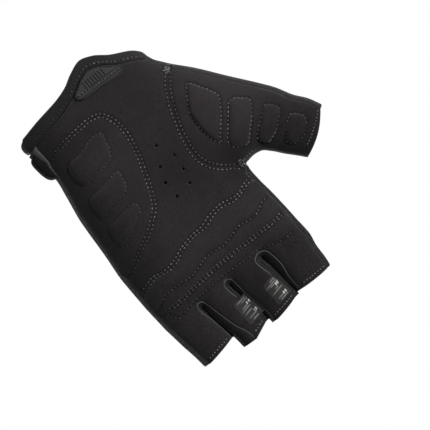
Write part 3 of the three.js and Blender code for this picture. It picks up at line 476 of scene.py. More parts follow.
HEEL_OUTLINES = [np.array([
    [44.6, 89.9], [40.2, 88.5], [35.3, 86], [28.9, 83.2], [24.6, 81], [20.2, 78.8], [16.1, 76.6], [12.4, 73.8],
    [8.9, 71.1], [7.3, 69.8], [4.1, 64.8], [1.9, 60.7], [-0.4, 54.4], [-2.1, 49.8], [-3.9, 45], [-5.3, 40.7],
    [-7, 33.5], [-8.1, 26.6], [-7.9, 21.9], [-7.3, 17.9], [-6.7, 15.7], [-4.5, 11.3], [-2.3, 9.4], [0.8, 8.3],
    [3, 7.9], [7.5, 7.7], [12.7, 8], [18.3, 8.3], [28, 9.3], [31.8, 11.3], [34.3, 12.9],
]), np.array([
    [44.2, 87.6], [40.9, 86.5], [36.1, 84.1], [29.8, 81.3], [25.5, 79.1], [21.2, 77], [17.2, 74.9], [13.6, 72.2],
    [10.3, 69.6], [8.8, 68.4], [5.8, 63.8], [3.7, 59.9], [1.5, 53.7], [-0.2, 49.1], [-2, 44.4], [-3.4, 40.1],
    [-5, 33.1], [-6, 26.6], [-5.9, 22.2], [-5.3, 18.6], [-4.8, 16.6], [-2.9, 12.6], [-1.3, 11.2], [1.4, 10.3],
    [3.3, 9.9], [7.6, 9.7], [12.5, 10], [18.2, 10.3], [27.4, 11.2],
])]
HEEL_ISLANDS = [np.array([
    [35, 72.6], [31.4, 72.7], [27.4, 71.3], [21.4, 68.8], [16.6, 66], [14.3, 64.8], [13.6, 62.3], [14.1, 60],
    [16.1, 58.8], [18.9, 59.1], [24.9, 59.9], [34, 61],
]), np.array([
    [33, 54.3], [24.9, 53.3], [19.6, 52.8], [13.8, 51.3], [11.4, 48.5], [10.4, 45], [9.9, 42.3], [10.8, 40],
    [15.5, 40.6], [21.8, 41.5], [32, 43.3],
]), np.array([
    [29, 34.2], [19.3, 33.5], [16.4, 34.1], [10.2, 32.3], [7.7, 31.3], [5.8, 28.2], [4.4, 24.1], [3.3, 19.4],
    [4.9, 17.6], [7.4, 17.1], [12.4, 18], [17.4, 19.4], [29, 21.5],
])]
LOWER_ROWS = [np.array([
    [-45, 91.1], [-40, 91.3], [-34, 92.9], [-31, 93.7], [-27, 93.5], [-23.3, 92.3], [-18.7, 91.7], [-12.7, 93],
    [-9.7, 94.1], [-7.3, 94.7], [-3.3, 94.7], [0.7, 94.3], [6.7, 95.3], [11.7, 96.9], [15.7, 98.9], [20, 100.1],
    [24.3, 99.9], [30, 98.8], [33, 98.5], [36.7, 99.7], [40, 100.7], [44, 102.3],
]), np.array([
    [-43.7, 85.3], [-44.2, 88.1], [-38.3, 89.9], [-33, 91.8], [-28.7, 91.5], [-23, 90.1], [-19.3, 89.9],
    [-12, 90.8], [-5.7, 92.7], [1.3, 93.0], [9.7, 94.5], [14, 95.9], [21.7, 98.2], [28, 97.8], [34, 96.9],
    [44, 99.5],
])]
WAVY_ROW = np.array([
    [-43.3, 103.7], [-39.7, 103.8], [-36.3, 105.7], [-33.8, 106.7], [-31, 107], [-26, 106.3], [-23.3, 105.7],
    [-20, 105.9], [-14.7, 107.3], [-10, 108.3], [-7.7, 108.5], [-3.3, 107.7], [2.7, 107.1], [7.3, 108.3],
    [12, 109.5], [17.7, 110.1], [23, 109.3], [32.3, 109.1], [35, 109.8], [39.7, 112.3], [43.5, 114],
])
UPPER_ROWS = [np.array([
    [-44.3, 115.8], [-40.7, 116.7], [-28, 116.7], [-14, 116.2], [0.7, 115.9], [16, 116.5], [27.3, 117.5],
    [35.3, 117.5],
]), np.array([
    [-44.3, 114.4], [-40.7, 115.3], [-28, 115.3], [-14, 114.8], [0.7, 114.5], [16, 115.1], [27.3, 116.1],
    [37, 116],
])]
TOP_ROWS = [np.array([
    [-42, 126.7], [-37, 127.2], [-28.3, 125.2], [-23.3, 123.3], [-19.3, 122.6], [-16, 122.9], [-6.7, 121.7],
    [0.7, 121.5], [12, 121.4], [23.3, 122], [26, 122.3], [33, 123.3], [35.7, 123.7], [37.3, 122.3],
    [38.3, 120.3], [40, 118],
])]
AIR_HOLES = np.array([
    [-16, 70.5], [-6, 71.8], [-18.5, 62], [-6, 61.8], [-19, 53.3], [-9.7, 53.2], [-15, 43],
])


# %% [markdown]
# ## Quilting
#
# Foam swells the suede between two rows and the thread pulls it down along them. One way
# would be a cloth simulation blown up against pinned rows. Here the heights are a formula
# instead, because the rows must stay exactly where the pattern has them: a dome inside each
# island, a roll between two long rows and a narrow groove under every row.

# %% Domes, rolls and grooves
def closed(line):
    """The line with its first point again at its end."""
    return np.vstack([line, line[:1]])


def run_along(path):
    """How far along the path each of its points lies."""
    return np.concatenate([[0], np.cumsum(np.linalg.norm(np.diff(path, axis=0), axis=1))])


def places_at(path, lengths):
    """The places of a path at given lengths along it."""
    run = run_along(path)
    return np.stack([np.interp(lengths, run, path[:, axis]) for axis in range(2)], -1)


def smooth_path(line, step=0.6):
    """A Catmull-Rom curve through the points, resampled at even steps of length."""
    ends = np.vstack([2 * line[0] - line[1], line, 2 * line[-1] - line[-2]])
    if np.allclose(line[0], line[-1]):
        ends[0], ends[-1] = line[-2], line[1]
    t = np.linspace(0, 1, 12, endpoint=False)[:, None]
    pieces = []
    for a, b, c, d in zip(ends[:-3], ends[1:-2], ends[2:-1], ends[3:]):
        pieces.append(0.5 * (2 * b + (c - a) * t + (2 * a - 5 * b + 4 * c - d) * t**2
                             + (3 * b - a - 3 * c + d) * t**3))
    dense = np.vstack([*pieces, line[-1:]])
    whole = run_along(dense)[-1]
    return places_at(dense, np.linspace(0, whole, max(int(whole / step), 2) + 1))


def inside(line, x, z):
    """True where a ray to the right crosses the closed line an odd number of times."""
    crossed = np.zeros(np.shape(x), bool)
    for (ax, az), (bx, bz) in zip(line[:-1], line[1:]):
        spans = (az > z) != (bz > z)
        crossed ^= spans & (x < ax + (z - az) * (bx - ax) / np.where(bz == az, 1e-9, bz - az))
    return crossed


def dome(outline, x, z, width, top):
    """Inside the outline, a quarter ellipse that rises over width to its top."""
    share = np.clip(distance_to(outline, x, z) / width, 0, 1)
    return np.where(inside(outline, x, z), top * np.sqrt(1 - (1 - share) ** 2), 0)


def roll(low, high, x, z, top):
    """Between a low and a high row, half a sine wave raised to 0.7."""
    bottom, ceiling = np.interp(x, low[:, 0], low[:, 1]), np.interp(x, high[:, 0], high[:, 1])
    share = np.clip((z - bottom) / np.maximum(ceiling - bottom, 0.1), 0, 1)
    return top * np.sin(np.pi * share) ** 0.7


def grooves(rows, x, z, depth, width):
    """A bell-shaped groove along each row, its depth set by the nearest row; the same bells measure painted
    shade.
    """
    return depth * bell(np.min([distance_to(row, x, z) for row in rows], axis=0), width)


GROOVE_DEPTH, GROOVE_WIDTH = 0.55, 1.0
THENAR_PATHS = [smooth_path(row) for row in THENAR_ROWS]
THUMB_ISLAND_PATHS = [smooth_path(closed(line)) for line in THUMB_ISLANDS]
HEEL_ISLAND_PATHS = [smooth_path(closed(line)) for line in HEEL_ISLANDS]
HEEL_PATHS = [smooth_path(line) for line in HEEL_OUTLINES]
BAND_PATHS = [smooth_path(row) for row in [*LOWER_ROWS, WAVY_ROW, *UPPER_ROWS, *TOP_ROWS]]


def palm_relief(x, z):
    """Heel, islands and rolls swell; every row of stitches pulls the suede down."""
    heel_edge = np.vstack([HEEL_PATHS[1], [[40, 13], [52, 13], [52, 89]], HEEL_PATHS[1][:1]])
    swell = dome(heel_edge, x, z, 7, 0.9)
    fade = 1 - smoothstep(x, 24, 37)
    for island in HEEL_ISLAND_PATHS:
        swell = swell + dome(island, x, z, 4.5, 1.7) * (0.25 + 0.75 * fade)
    swell = swell + roll(LOWER_ROWS[0], WAVY_ROW, x, z, 1.7) + roll(WAVY_ROW, UPPER_ROWS[1], x, z, 1.1)
    swell = swell + roll(UPPER_ROWS[0], TOP_ROWS[0], x, z, 0.5) * (1 - smoothstep(x, 30, 40))
    sunk = grooves([*HEEL_PATHS, *BAND_PATHS, *THENAR_PATHS], x, z, GROOVE_DEPTH, GROOVE_WIDTH)
    sunk = sunk + grooves(HEEL_ISLAND_PATHS, x, z, 0.45, 0.9) * (0.2 + 0.8 * fade)
    return swell - sunk


def thumb_relief(x, z):
    """The four islands of the thumb swell inside their grooves."""
    swell = sum(dome(island, x, z, 5, 1.8) for island in THUMB_ISLAND_PATHS)
    return swell - grooves([*THUMB_ISLAND_PATHS, *THENAR_PATHS], x, z, GROOVE_DEPTH, GROOVE_WIDTH)


# %% [markdown]
# ## Finishes
#
# The suede is a brushed microfibre: almost black, a little warm, without gloss, with a soft
# sheen at grazing angles and faint clouds where the nap lies another way. The stretch cloth is
# a fine knit with even ribs. All patterns are worked out from noise and waves on the object's
# own coordinates, in metres, so that they keep their size from any view.

# %% Materials
def shade(name, base, rough, sheen=0.0):
    """A new material with one Principled shader, and the helpers to add nodes to it."""
    material = bpy.data.materials.new(name)
    material.use_nodes = True
    material.diffuse_color = (*base, 1)
    shader = material.node_tree.nodes["Principled BSDF"]
    shader.inputs["Base Color"].default_value = (*base, 1)
    shader.inputs["Roughness"].default_value = rough
    shader.inputs["Specular IOR Level"].default_value = 0.25
    shader.inputs["Sheen Weight"].default_value = sheen
    shader.inputs["Sheen Roughness"].default_value = 0.5
    return material, material.node_tree, shader


def place_of(tree):
    """The object's own coordinates."""
    return tree.nodes.new("ShaderNodeTexCoord").outputs["Object"]


def noise(tree, place, scale, detail=3.0, stretch=None):
    """Cloudy noise, whose cells are about 1 / scale metres wide, drawn out along an axis if asked."""
    if stretch is not None:
        mapping = tree.nodes.new("ShaderNodeMapping")
        mapping.inputs["Scale"].default_value = stretch
        tree.links.new(place, mapping.inputs["Vector"])
        place = mapping.outputs["Vector"]
    node = tree.nodes.new("ShaderNodeTexNoise")
    node.inputs["Scale"].default_value = scale
    node.inputs["Detail"].default_value = detail
    tree.links.new(place, node.inputs["Vector"])
    return node.outputs["Fac"]


def ribs(tree, place, direction, scale, warp=0.4):
    """Even ribs across one axis, about 6.3 / scale metres apart, slightly wavy."""
    node = tree.nodes.new("ShaderNodeTexWave")
    node.wave_type = "BANDS"
    node.bands_direction = direction
    node.inputs["Scale"].default_value = scale
    node.inputs["Distortion"].default_value = warp
    node.inputs["Detail Scale"].default_value = 2.0
    tree.links.new(place, node.inputs["Vector"])
    return node.outputs["Fac"]


def span(tree, value, low, high):
    """A pattern from 0 to 1 turned into numbers from low to high."""
    node = tree.nodes.new("ShaderNodeMapRange")
    node.inputs["To Min"].default_value = low
    node.inputs["To Max"].default_value = high
    tree.links.new(value, node.inputs["Value"])
    return node.outputs["Result"]


def blend_colours(tree, factor, first, second):
    """The first colour where the factor is 0, the second where it is 1."""
    node = tree.nodes.new("ShaderNodeMix")
    node.data_type = "RGBA"
    for socket, colour in zip([node.inputs[6], node.inputs[7]], [first, second]):
        if isinstance(colour, tuple):
            socket.default_value = (*colour, 1)
        else:
            tree.links.new(colour, socket)
    tree.links.new(factor, node.inputs[0])
    return node.outputs[2]


def raise_surface(tree, shader, *layers):
    """Bumps one over another: each layer is a pattern and its height in metres."""
    before = None
    for value, tall in layers:
        bump = tree.nodes.new("ShaderNodeBump")
        bump.inputs["Strength"].default_value = 1.0
        bump.inputs["Distance"].default_value = tall
        tree.links.new(value, bump.inputs["Height"])
        if before is not None:
            tree.links.new(before, bump.inputs["Normal"])
        before = bump.outputs["Normal"]
    tree.links.new(before, shader.inputs["Normal"])


def marked(tree, name):
    """A number kept on the mesh's points."""
    node = tree.nodes.new("ShaderNodeAttribute")
    node.attribute_name = name
    return node.outputs["Fac"]


def times(colour, factor):
    """A colour made darker or lighter."""
    return tuple(part * factor for part in colour)


def make_suede(name, dark, light):
    """Clouded nap over fine grain, lighter on the crests, with painted shade in the stitched grooves and on a
    few patches, and painted light over the mid palm and the ball of the thumb.
    """
    material, tree, shader = shade(name, dark, 0.95, sheen=0.18)
    place = place_of(tree)
    clouds = noise(tree, place, 160, 4)
    colour = blend_colours(tree, span(tree, clouds, -0.2, 1.2), dark, light)
    mottle = noise(tree, place, 900, 3)
    colour = blend_colours(tree, span(tree, mottle, 1.75, -1.45), colour, times(dark, 0.3))
    speck = noise(tree, place, 2600, 2)
    colour = blend_colours(tree, span(tree, speck, 0.25, -0.1), colour, times(dark, 0.35))
    # Painted light by the mark: the crests, the mid palm and the ball of the thumb grow lighter.
    crests_and_painted_light = blend_colours(tree, marked(tree, "crests_and_painted_light"), colour, times(light, 1.7))
    # Painted shade by the mark: the grooves and the SHADED patches grow darker.
    painted_shade = blend_colours(tree, marked(tree, "painted_shade"), crests_and_painted_light, times(dark, 0.35))
    tree.links.new(painted_shade, shader.inputs["Base Color"])
    raise_surface(tree, shader, (clouds, 0.00012), (mottle, 0.0002), (speck, 0.00005))
    return material


SUEDE = make_suede("charcoal_suede", (0.0171, 0.0143, 0.0162), (0.0303, 0.0256, 0.0288))
THUMB_SUEDE = make_suede("thumb_suede", (0.0169, 0.0138, 0.0157), (0.0296, 0.0246, 0.0275))


def make_knit(name, dark, light, scale, rough=0.9, sheen=0.25, tall=0.0001):
    """Upright knitted ribs crossed by finer rows, with painted shade where the points are marked with shade."""
    material, tree, shader = shade(name, dark, rough, sheen)
    place = place_of(tree)
    wales, courses = ribs(tree, place, "X", scale), ribs(tree, place, "Z", scale * 1.4)
    clouds = noise(tree, place, 220, 3)
    knit = blend_colours(tree, wales, dark, light)
    knit = blend_colours(tree, span(tree, courses, 0.35, 0), knit, dark)
    knit = blend_colours(tree, span(tree, clouds, 0.4, -0.1), knit, times(dark, 0.5))
    # Painted shade where a piece's points carry the shade mark.
    knit = blend_colours(tree, marked(tree, "shade"), knit, times(dark, 0.35))
    tree.links.new(knit, shader.inputs["Base Color"])
    raise_surface(tree, shader, (wales, tall), (courses, tall * 0.6), (clouds, tall))
    return material


STRETCH = make_knit("back_knit", (0.012, 0.012, 0.0135), (0.03, 0.03, 0.033), 4200)
EDGE_KNIT = make_knit("edge_knit", (0.012, 0.013, 0.0125), (0.034, 0.036, 0.034), 5200, tall=0.0002)
BRUSHED = make_knit("brushed_edge", (0.034, 0.032, 0.027), (0.09, 0.086, 0.076), 5200, sheen=0.4, tall=0.0003)
# The gusset knit is made lighter than its cloth, as painted light for the faces turned away from the key lamp.
GUSSET = make_knit("gusset_knit", (0.021, 0.0182, 0.0205), (0.044, 0.0385, 0.043), 5200, sheen=0.15)
ELASTIC = make_knit("cuff_elastic", (0.0195, 0.017, 0.019), (0.0285, 0.025, 0.0285), 6200, rough=0.7, sheen=0.15,
                    tall=0.00004)


def make_piping(name, dark, light):
    """Ribbed piping: pale where it is marked, the mark also holding a painted highlight line, and dark like the
    back beyond.
    """
    material, tree, shader = shade(name, dark, 0.85, sheen=0.2)
    place = place_of(tree)
    twill, clouds = ribs(tree, place, "Z", 4200, 0.6), noise(tree, place, 1200, 3)
    colour = blend_colours(tree, marked(tree, "light"), dark, light)
    colour = blend_colours(tree, span(tree, twill, 0.4, 0), colour, dark)
    colour = blend_colours(tree, span(tree, clouds, 1.3, -0.8), colour, times(dark, 0.6))
    tree.links.new(colour, shader.inputs["Base Color"])
    raise_surface(tree, shader, (twill, 0.00012), (clouds, 0.0002))
    return material


PIPING_CLOTH = make_piping("piping_cloth", (0.013, 0.0125, 0.0135), (0.29, 0.28, 0.305))


def make_thread(name, colour):
    """Spun thread: a light core with darker twists and a varying shade from stitch to stitch."""
    material, tree, shader = shade(name, colour, 0.6)
    place = place_of(tree)
    twist = noise(tree, place, 5200, 1)
    toned = blend_colours(tree, span(tree, twist, 0.2, 0.8), times(colour, 0.45), colour)
    shaded = blend_colours(tree, marked(tree, "tone"), (0.004, 0.0035, 0.004), toned)
    tree.links.new(shaded, shader.inputs["Base Color"])
    return material


THREAD = make_thread("grey_thread", (0.36, 0.345, 0.35))
EDGE_THREAD = make_thread("raw_edge", (0.2, 0.19, 0.2))
print("materials:", len(bpy.data.materials))

# %% [markdown]
# ## The suede palm
#
# The palm and the palm faces of the four fingers are one piece of suede, cut in at three
# slits. Its grid follows the pattern: columns run from the hem to the finger openings, and
# above the webs each finger has its own columns while those in the slits are left out. Seven
# air holes are let into the grid: a block of cells gives way to a ring of cells round a hole.

# %% Places on the hand's panels
# shares up: where the thumb's seam starts, where it ends at the crotch of the thumb, and
# between which the edge strip above it grows to its full width
SEAM_FOOT, CROTCH, STRIP_STARTS, STRIP_FULL = 0.112, 0.661, 0.664, 0.705


def thumbward(seam, reach):
    """A panel's edge towards the thumb: the seam up to the crotch, the outline less the strip above."""
    def edge_at(z):
        up = rise(z)
        strip = np.maximum(reach * smoothstep(up, STRIP_STARTS, STRIP_FULL), SEAM_GAP)
        return np.where(up < CROTCH, edge_x(seam, z), edge_x(INDEX_SIDE, z) + strip)

    return edge_at


def palm_right(z):
    """The palm's outer edge: the outline less the piping."""
    return edge_x(LITTLE_SIDE, z) - PIPING_FRONT


def back_right(z):
    """The back's outer edge: the outline less the piping's other half."""
    return edge_x(LITTLE_SIDE, z) - STRIP_BACK


palm_left, back_left = thumbward(THENAR_SEAM, STRIP_FRONT), thumbward(BACK_SEAM, STRIP_BACK)


def palm_hem(x):
    """The height of the palm's hem over the cuff, with its V-shaped dip."""
    return PALM_LENGTH * smooth_curve(PALM_HEM, 1, x / HAND_WIDTH)


def finger_edge(edge, v, left, right):
    """The eight edges of the finger faces, v from 1 at the webs to 2 at the openings."""
    z = height(1 + (v - 1) * (STALL_TOPS.ravel()[edge] - 1))
    if edge == 0:
        return np.stack([left(z), z], -1)
    if edge == 7:
        return np.stack([right(z), z], -1)
    rows = list(SLITS.values())[(edge - 1) // 2]
    return np.stack([edge_x(rows, z, 1 if edge % 2 else 3), z], -1)


def panel_places(us, vs, left, right, hem):
    """Places for every u and v: straight between finger edges, then even shares of the width below."""
    number = np.minimum(us.astype(int), 6)
    share = (us - number)[:, None, None]
    edges = np.stack([finger_edge(edge, np.maximum(vs, 1), left, right) for edge in range(8)])
    places = edges[number] * (1 - share) + edges[number + 1] * share
    web_left, web_right = left(np.float64(PALM_LENGTH)), right(np.float64(PALM_LENGTH))
    low = vs < 1
    x = places[:, low, 0]
    across = (x - web_left) / (web_right - web_left)
    for _ in range(6):
        z = hem(x) * (1 - vs[low]) + PALM_LENGTH * vs[low]
        x = left(z) + (right(z) - left(z)) * across
    places[:, low] = np.stack([x, z], -1)
    return places


def finger_columns(per_finger, per_slit):
    """Column numbers from 0 to 7, closer on the fingers than across the slits."""
    counts = [per_slit if edge % 2 else per_finger for edge in range(7)]
    return np.concatenate([np.linspace(e, e + 1, n, endpoint=False) for e, n in enumerate(counts)] + [[7.0]])


def outside_slits(us, vs):
    """True for the cells that are cloth: above the webs, every second column number is a slit."""
    middle_u, middle_v = (us[1:] + us[:-1]) / 2, (vs[1:] + vs[:-1]) / 2
    return ~((middle_u.astype(int) % 2 == 1)[:, None] & (middle_v > 1)[None, :])


# %% The palm's grid
palm_us, palm_vs = finger_columns(40, 5), runs(0, 205, 1, 56, 2)
palm_places = panel_places(palm_us, palm_vs, palm_left, palm_right, palm_hem)
palm_points = on_side(palm_side, palm_places[..., 0], palm_places[..., 1])
print("palm grid:", palm_points.shape)


# %% Air holes, let into the grid
def pierce(points, normals, keep, holes, radius):
    """Take out four by four cells at each hole, and join their border to a circle of sixteen points."""
    columns, rows = points.shape[:2]
    number = np.arange(columns * rows).reshape(columns, rows)
    flat, flat_normals = points.reshape(-1, 3), normals.reshape(-1, 3)
    extra, extra_normals, cells = [], [], []
    for hole in holes:
        i, j = np.unravel_index(np.argmin(np.hypot(*(flat[:, [0, 2]] - hole).T)), (columns, rows))
        keep[i - 2:i + 2, j - 2:j + 2] = False
        block = number[i - 2:i + 3, j - 2:j + 3]
        border = np.concatenate([block[:-1, 0], block[-1, :-1], block[:0:-1, -1], block[0, :0:-1]])
        centre = flat[number[i, j], [0, 2]]
        away = flat[border][:, [0, 2]] - centre
        circle = centre + radius * away / np.linalg.norm(away, axis=1, keepdims=True)
        first = columns * rows + 16 * len(extra)
        ring = first + np.arange(16)
        extra.append(on_side(palm_side, circle[:, 0], circle[:, 1]))
        extra_normals.append(outwards_of(palm_side, circle[:, 0], circle[:, 1]))
        cells.append(np.stack([border, np.roll(border, -1), np.roll(ring, -1), ring], -1))
    quads = np.concatenate([grid_quads(columns, rows, keep), *cells])
    return np.vstack([flat, *extra]), np.vstack([flat_normals, *extra_normals]), quads


suede_points, suede_out, suede_quads = pierce(
    palm_points, grid_outwards(palm_points), outside_slits(palm_us, palm_vs), AIR_HOLES, AIR_HOLE / 2)

# %% The palm's suede
# x, z, wide, tall, how much painted shade lies there
SHADED = np.array([
    [-11, 138, 12, 20, 0.6], [14, 12, 16, 10, 0.45], [-44, 78, 10, 15, 0.75], [37, 45, 9, 50, 0.5],
    [10, 56, 14, 18, 0.25], [-14, 62, 16, 14, 0.25], [-82, 86, 22, 16, 0.25], [-36, 140, 11, 20, 0.15],
    [38, 92, 10, 12, 0.3], [-31, 8, 12, 10, 0.28], [32, 140, 10, 16, 0.15],
])


def suede_marks(points, rows, relief):
    """Numbers for the finish: painted shade in the grooves and on the SHADED patches, lighter on crests, and
    painted light over the mid palm and the ball of the thumb.
    """
    x, z = points[..., 0], points[..., 2]
    # Painted light: the middle of the palm and the ball of the thumb are made lighter.
    palm = 0.24 * (1 - smoothstep(x, 8, 30)) * (1 - smoothstep(z, 112, 134)) * smoothstep(x, -60, -40)
    ball = 0.36 * (1 - smoothstep(np.hypot(x + 54, z - 46), 12, 42))
    # Painted shade along the grooves and on the SHADED patches.
    return {"painted_shade": np.maximum(grooves(rows, x, z, 0.75, 0.9), hills(SHADED, x, z)),
            "crests_and_painted_light": 0.1 * np.clip(relief / 1.8, 0, 1) + np.maximum(palm * (x > -46), ball)}


palm_lift = palm_relief(suede_points[:, 0], suede_points[:, 2])
palm_rows = [*HEEL_PATHS, *BAND_PATHS, *THENAR_PATHS]
palm_suede = sew_cloth(
    "palm_suede", suede_points, suede_out, suede_quads, SUEDE_WALL, palm_lift, bottom=-SUEDE_WALL,
    round_rim=0.6, marks=suede_marks(suede_points, palm_rows, palm_lift),
)
finish_piece(palm_suede, "palm_suede", SUEDE, "palm_panel", "heel_pad_upper", "heel_pad_middle",
             "heel_pad_lower", "band_pad_lower", "band_pad_upper")

# %% [markdown]
# ## The suede thumb
#
# The thumb and the ball of the thumb are a second piece of suede. Its grid climbs the double
# seam with the palm and then the thumb's inner edge, while its other side follows the outer
# edge. Four islands of foam lie across it like the treads of a stair.

# %% Thumb places
MOUTH_BOW = 1.4


def thumb_inner_edge(ts, seam):
    """Up the seam with the hand while t is under 1, then up the thumb to its opening at 2."""
    on_seam = hand_line(seam, SEAM_FOOT + np.clip(ts, 0, 1) * (CROTCH - SEAM_FOOT))
    beyond = thumb_line(THUMB_INNER, 8 - 7 * np.clip(ts - 1, 0, 1))
    return np.where((ts <= 1)[..., None], on_seam, beyond)


def way_along(line_at, at, step=1e-3):
    """The direction of a line, from its places a step before and a step after."""
    return unit(line_at(at + step) - line_at(at - step))


def beside(line_at, at, distance):
    """A line moved square to itself, towards its left hand."""
    along = way_along(line_at, at)
    return line_at(at) + np.stack([-along[..., 1], along[..., 0]], -1) * distance


def thumb_places(us, ts, seam, inset):
    """Straight rows from the outer edge (u = 0) to the inner one (u = 1), which bow out at the opening."""
    outer = beside(lambda at: thumb_line(THUMB_OUTER, at), smooth_curve(THUMB_ROWS, 1, ts), -inset)
    inner = thumb_inner_edge(ts, seam)
    gap = 0.3 * SEAM_GAP * (1 - smoothstep(ts, 1, 1.1)) / np.linalg.norm(outer - inner, axis=-1)
    share = us[:, None, None] * (1 - gap)[None, :, None]
    bow = MOUTH_BOW * 4 * (us * (1 - us))[:, None, None] * smoothstep(ts, 1.6, 2)[None, :, None]
    axis = (THUMB_MOUTH - THUMB_ROOT) / np.linalg.norm(THUMB_MOUTH - THUMB_ROOT)
    return outer[None] * (1 - share) + inner[None] * share + bow * axis


# %% The thumb's suede
places = thumb_places(np.linspace(0, 1, 84), runs(0, 170, 1, 60, 2), THENAR_SEAM, STRIP_FRONT)
grid = on_side(palm_side, places[..., 0], places[..., 1])
thumb_lift = thumb_relief(grid[..., 0], grid[..., 2])
thumb_suede = sew_grid(
    "thumb_suede", grid, SUEDE_WALL, lift=thumb_lift, bottom=-SUEDE_WALL, round_rim=0.6,
    marks=suede_marks(grid, [*THUMB_ISLAND_PATHS, *THENAR_PATHS], thumb_lift),
)
finish_piece(thumb_suede, "palm_suede", THUMB_SUEDE, "thumb_panel",
             "thumb_pad_1", "thumb_pad_2", "thumb_pad_3", "thumb_pad_4")

# %% [markdown]
# ## The stretch back
#
# The back of the hand, the backs of the fingers and the thumb's back are plain knit. They are
# made like the palm, on the other side, where only the form of the hand shows.

# %% Back cloths
# The grids are turned over, rows for columns, so that their faces point out of the back.
back_us, back_vs = finger_columns(24, 3), runs(0, 120, 1, 34, 2)
places = panel_places(back_us, back_vs, back_left, back_right, lambda x: np.full(np.shape(x), BACK_HEM))
grid = on_side(back_side, places[..., 0], places[..., 1]).transpose(1, 0, 2)
back_cloth = sew_grid("back_cloth", grid, STRETCH_WALL,
                      quads=grid_quads(*grid.shape[:2], outside_slits(back_us, back_vs).T))
finish_piece(back_cloth, "back_stretch", STRETCH, "back_panel")

places = thumb_places(np.linspace(0, 1, 44), runs(0, 90, 1, 32, 2), BACK_SEAM, STRIP_BACK)
grid = on_side(back_side, places[..., 0], places[..., 1]).transpose(1, 0, 2)
finish_piece(sew_grid("thumb_back_cloth", grid, STRETCH_WALL), "back_stretch", STRETCH, "thumb_back")

# %% [markdown]
# ## Edge strips and piping
#
# Along the index finger and the thumb the back cloth turns round the edge and shows as a
# narrow dark strip. Down the little-finger side runs a light grey piping instead. All three
# are one form: a strip carried along an outline, half on the palm side and half on the back.

# %% Strips round the edges
def edge_strip(line_at, ts, front, back, count=15):
    """Across the strip w runs from 0 over the outline at 1 to 2, and its reach grows with the square.

    Its outward directions come from steps of 0.2 in w, because the grid's points crowd at the outline.
    """
    along = way_along(line_at, ts)
    inwards = np.stack([along[:, 1], -along[:, 0]], -1)
    front, back = [np.broadcast_to(width, ts.shape)[:, None] for width in (front, back)]

    def strip_at(ws):
        reach = np.where(ws < 1, front * (1 - ws) ** 2, back * (ws - 1) ** 2)
        places = line_at(ts)[:, None, :] + inwards[:, None, :] * reach[..., None]
        return on_sides(ws < 1, places[..., 0], places[..., 1])

    ws = np.linspace(0, 2, count)
    grid = strip_at(ws)
    across = strip_at(np.minimum(ws + 0.2, 2)) - strip_at(np.maximum(ws - 0.2, 0))
    return grid, unit(np.cross(np.gradient(grid, axis=0), across))


LEAST_LIFT = 0.15


def rounded(count, proud):
    """The lift of a strip: bell-shaped, highest over the outline, like the fold of a binding."""
    return LEAST_LIFT + proud * bell(np.linspace(0, 2, count) - 1, 0.55)


def sew_strip(name, grid, out, lift, slot, material, node, light=None):
    """A strip of cloth with a marked lighter part."""
    strip = sew_grid(name, grid, STRIP_WALL, out, lift=lift, bottom=-STRIP_WALL,
                     marks=None if light is None else {"light": light})
    return finish_piece(strip, slot, material, node)


# The strips reach a little under the back cloth, so that no light comes through between them.
SEAM_OVERLAP = 0.35
ups = runs(0.667, 75, 1, 60, STALL_TOPS[0, 0])
turned = smoothstep(ups, STRIP_STARTS, STRIP_FULL)
grid, out = edge_strip(lambda at: hand_line(INDEX_SIDE, at), ups,
                       np.maximum(STRIP_FRONT * turned - SEAM_GAP / 2, 0.1),
                       np.maximum(STRIP_BACK * turned + SEAM_OVERLAP, 0.1))
sew_strip("index_edge_strip", grid, out, rounded(15, 0.25), "back_stretch", EDGE_KNIT, "index_side_strip")

grid, out = edge_strip(lambda at: thumb_line(THUMB_OUTER, at), np.linspace(1.85, 10, 190),
                       STRIP_FRONT - SEAM_GAP / 2, STRIP_BACK + SEAM_OVERLAP)
sew_strip("thumb_edge_strip", grid, out, rounded(15, 0.55), "back_stretch", BRUSHED, "thumb_side_strip")


# %% The piping
# Near the wrist the piping widens on to the palm: height in mm, x of its inner edge.
PIPING_INNER = np.array([
    [0, 35.9], [2.3, 35.8], [8.5, 35.6], [14.8, 35.8], [21, 36.4], [27.3, 37.4], [36.6, 38.8], [46, 41.0],
    [60, 43.2],
])
WIDE_BELOW, PIPING_COLUMNS = 60, 31
downs = runs(-STALL_TOPS[3, 1], 60, -1, 230, -0.017)
level = height(-downs)
narrow = PIPING_FRONT - SEAM_GAP
wide = np.where(level < WIDE_BELOW, edge_x(LITTLE_SIDE, level) - smooth_curve(PIPING_INNER, 1, level), narrow)
grid, out = edge_strip(lambda at: hand_line(LITTLE_SIDE, -at), downs, np.maximum(wide, narrow),
                       STRIP_BACK + SEAM_OVERLAP, PIPING_COLUMNS)
x, z = grid[..., 0], grid[..., 2]
outline = edge_x(LITTLE_SIDE, z)
on_palm = (np.linspace(0, 2, PIPING_COLUMNS) < 1)[None, :] * smoothstep(outline - x, 1.2, 2.4)
from_inner = x - np.where(z < WIDE_BELOW, smooth_curve(PIPING_INNER, 1, z), outline - narrow)
pale = (1 - smoothstep(from_inner, 2.6, 3.4)) * (1 - 0.45 * smoothstep(z, 30, 70))
# A thin painted highlight runs half a millimetre inside the piping's inner edge.
painted_highlight_line = bell(from_inner - 0.5, 0.35) * 0.6
knot = 1.1 * bell(z - 1.2, 1.7) * (rounded(PIPING_COLUMNS, 1) - LEAST_LIFT)
over_pads = on_palm * (np.maximum(palm_relief(x, z), 0) + 0.45)
sew_strip("side_piping_strip", grid, out, rounded(PIPING_COLUMNS, 0.5) + over_pads + knot,
          "piping", PIPING_CLOTH, "side_piping", light=np.maximum(pale, painted_highlight_line))

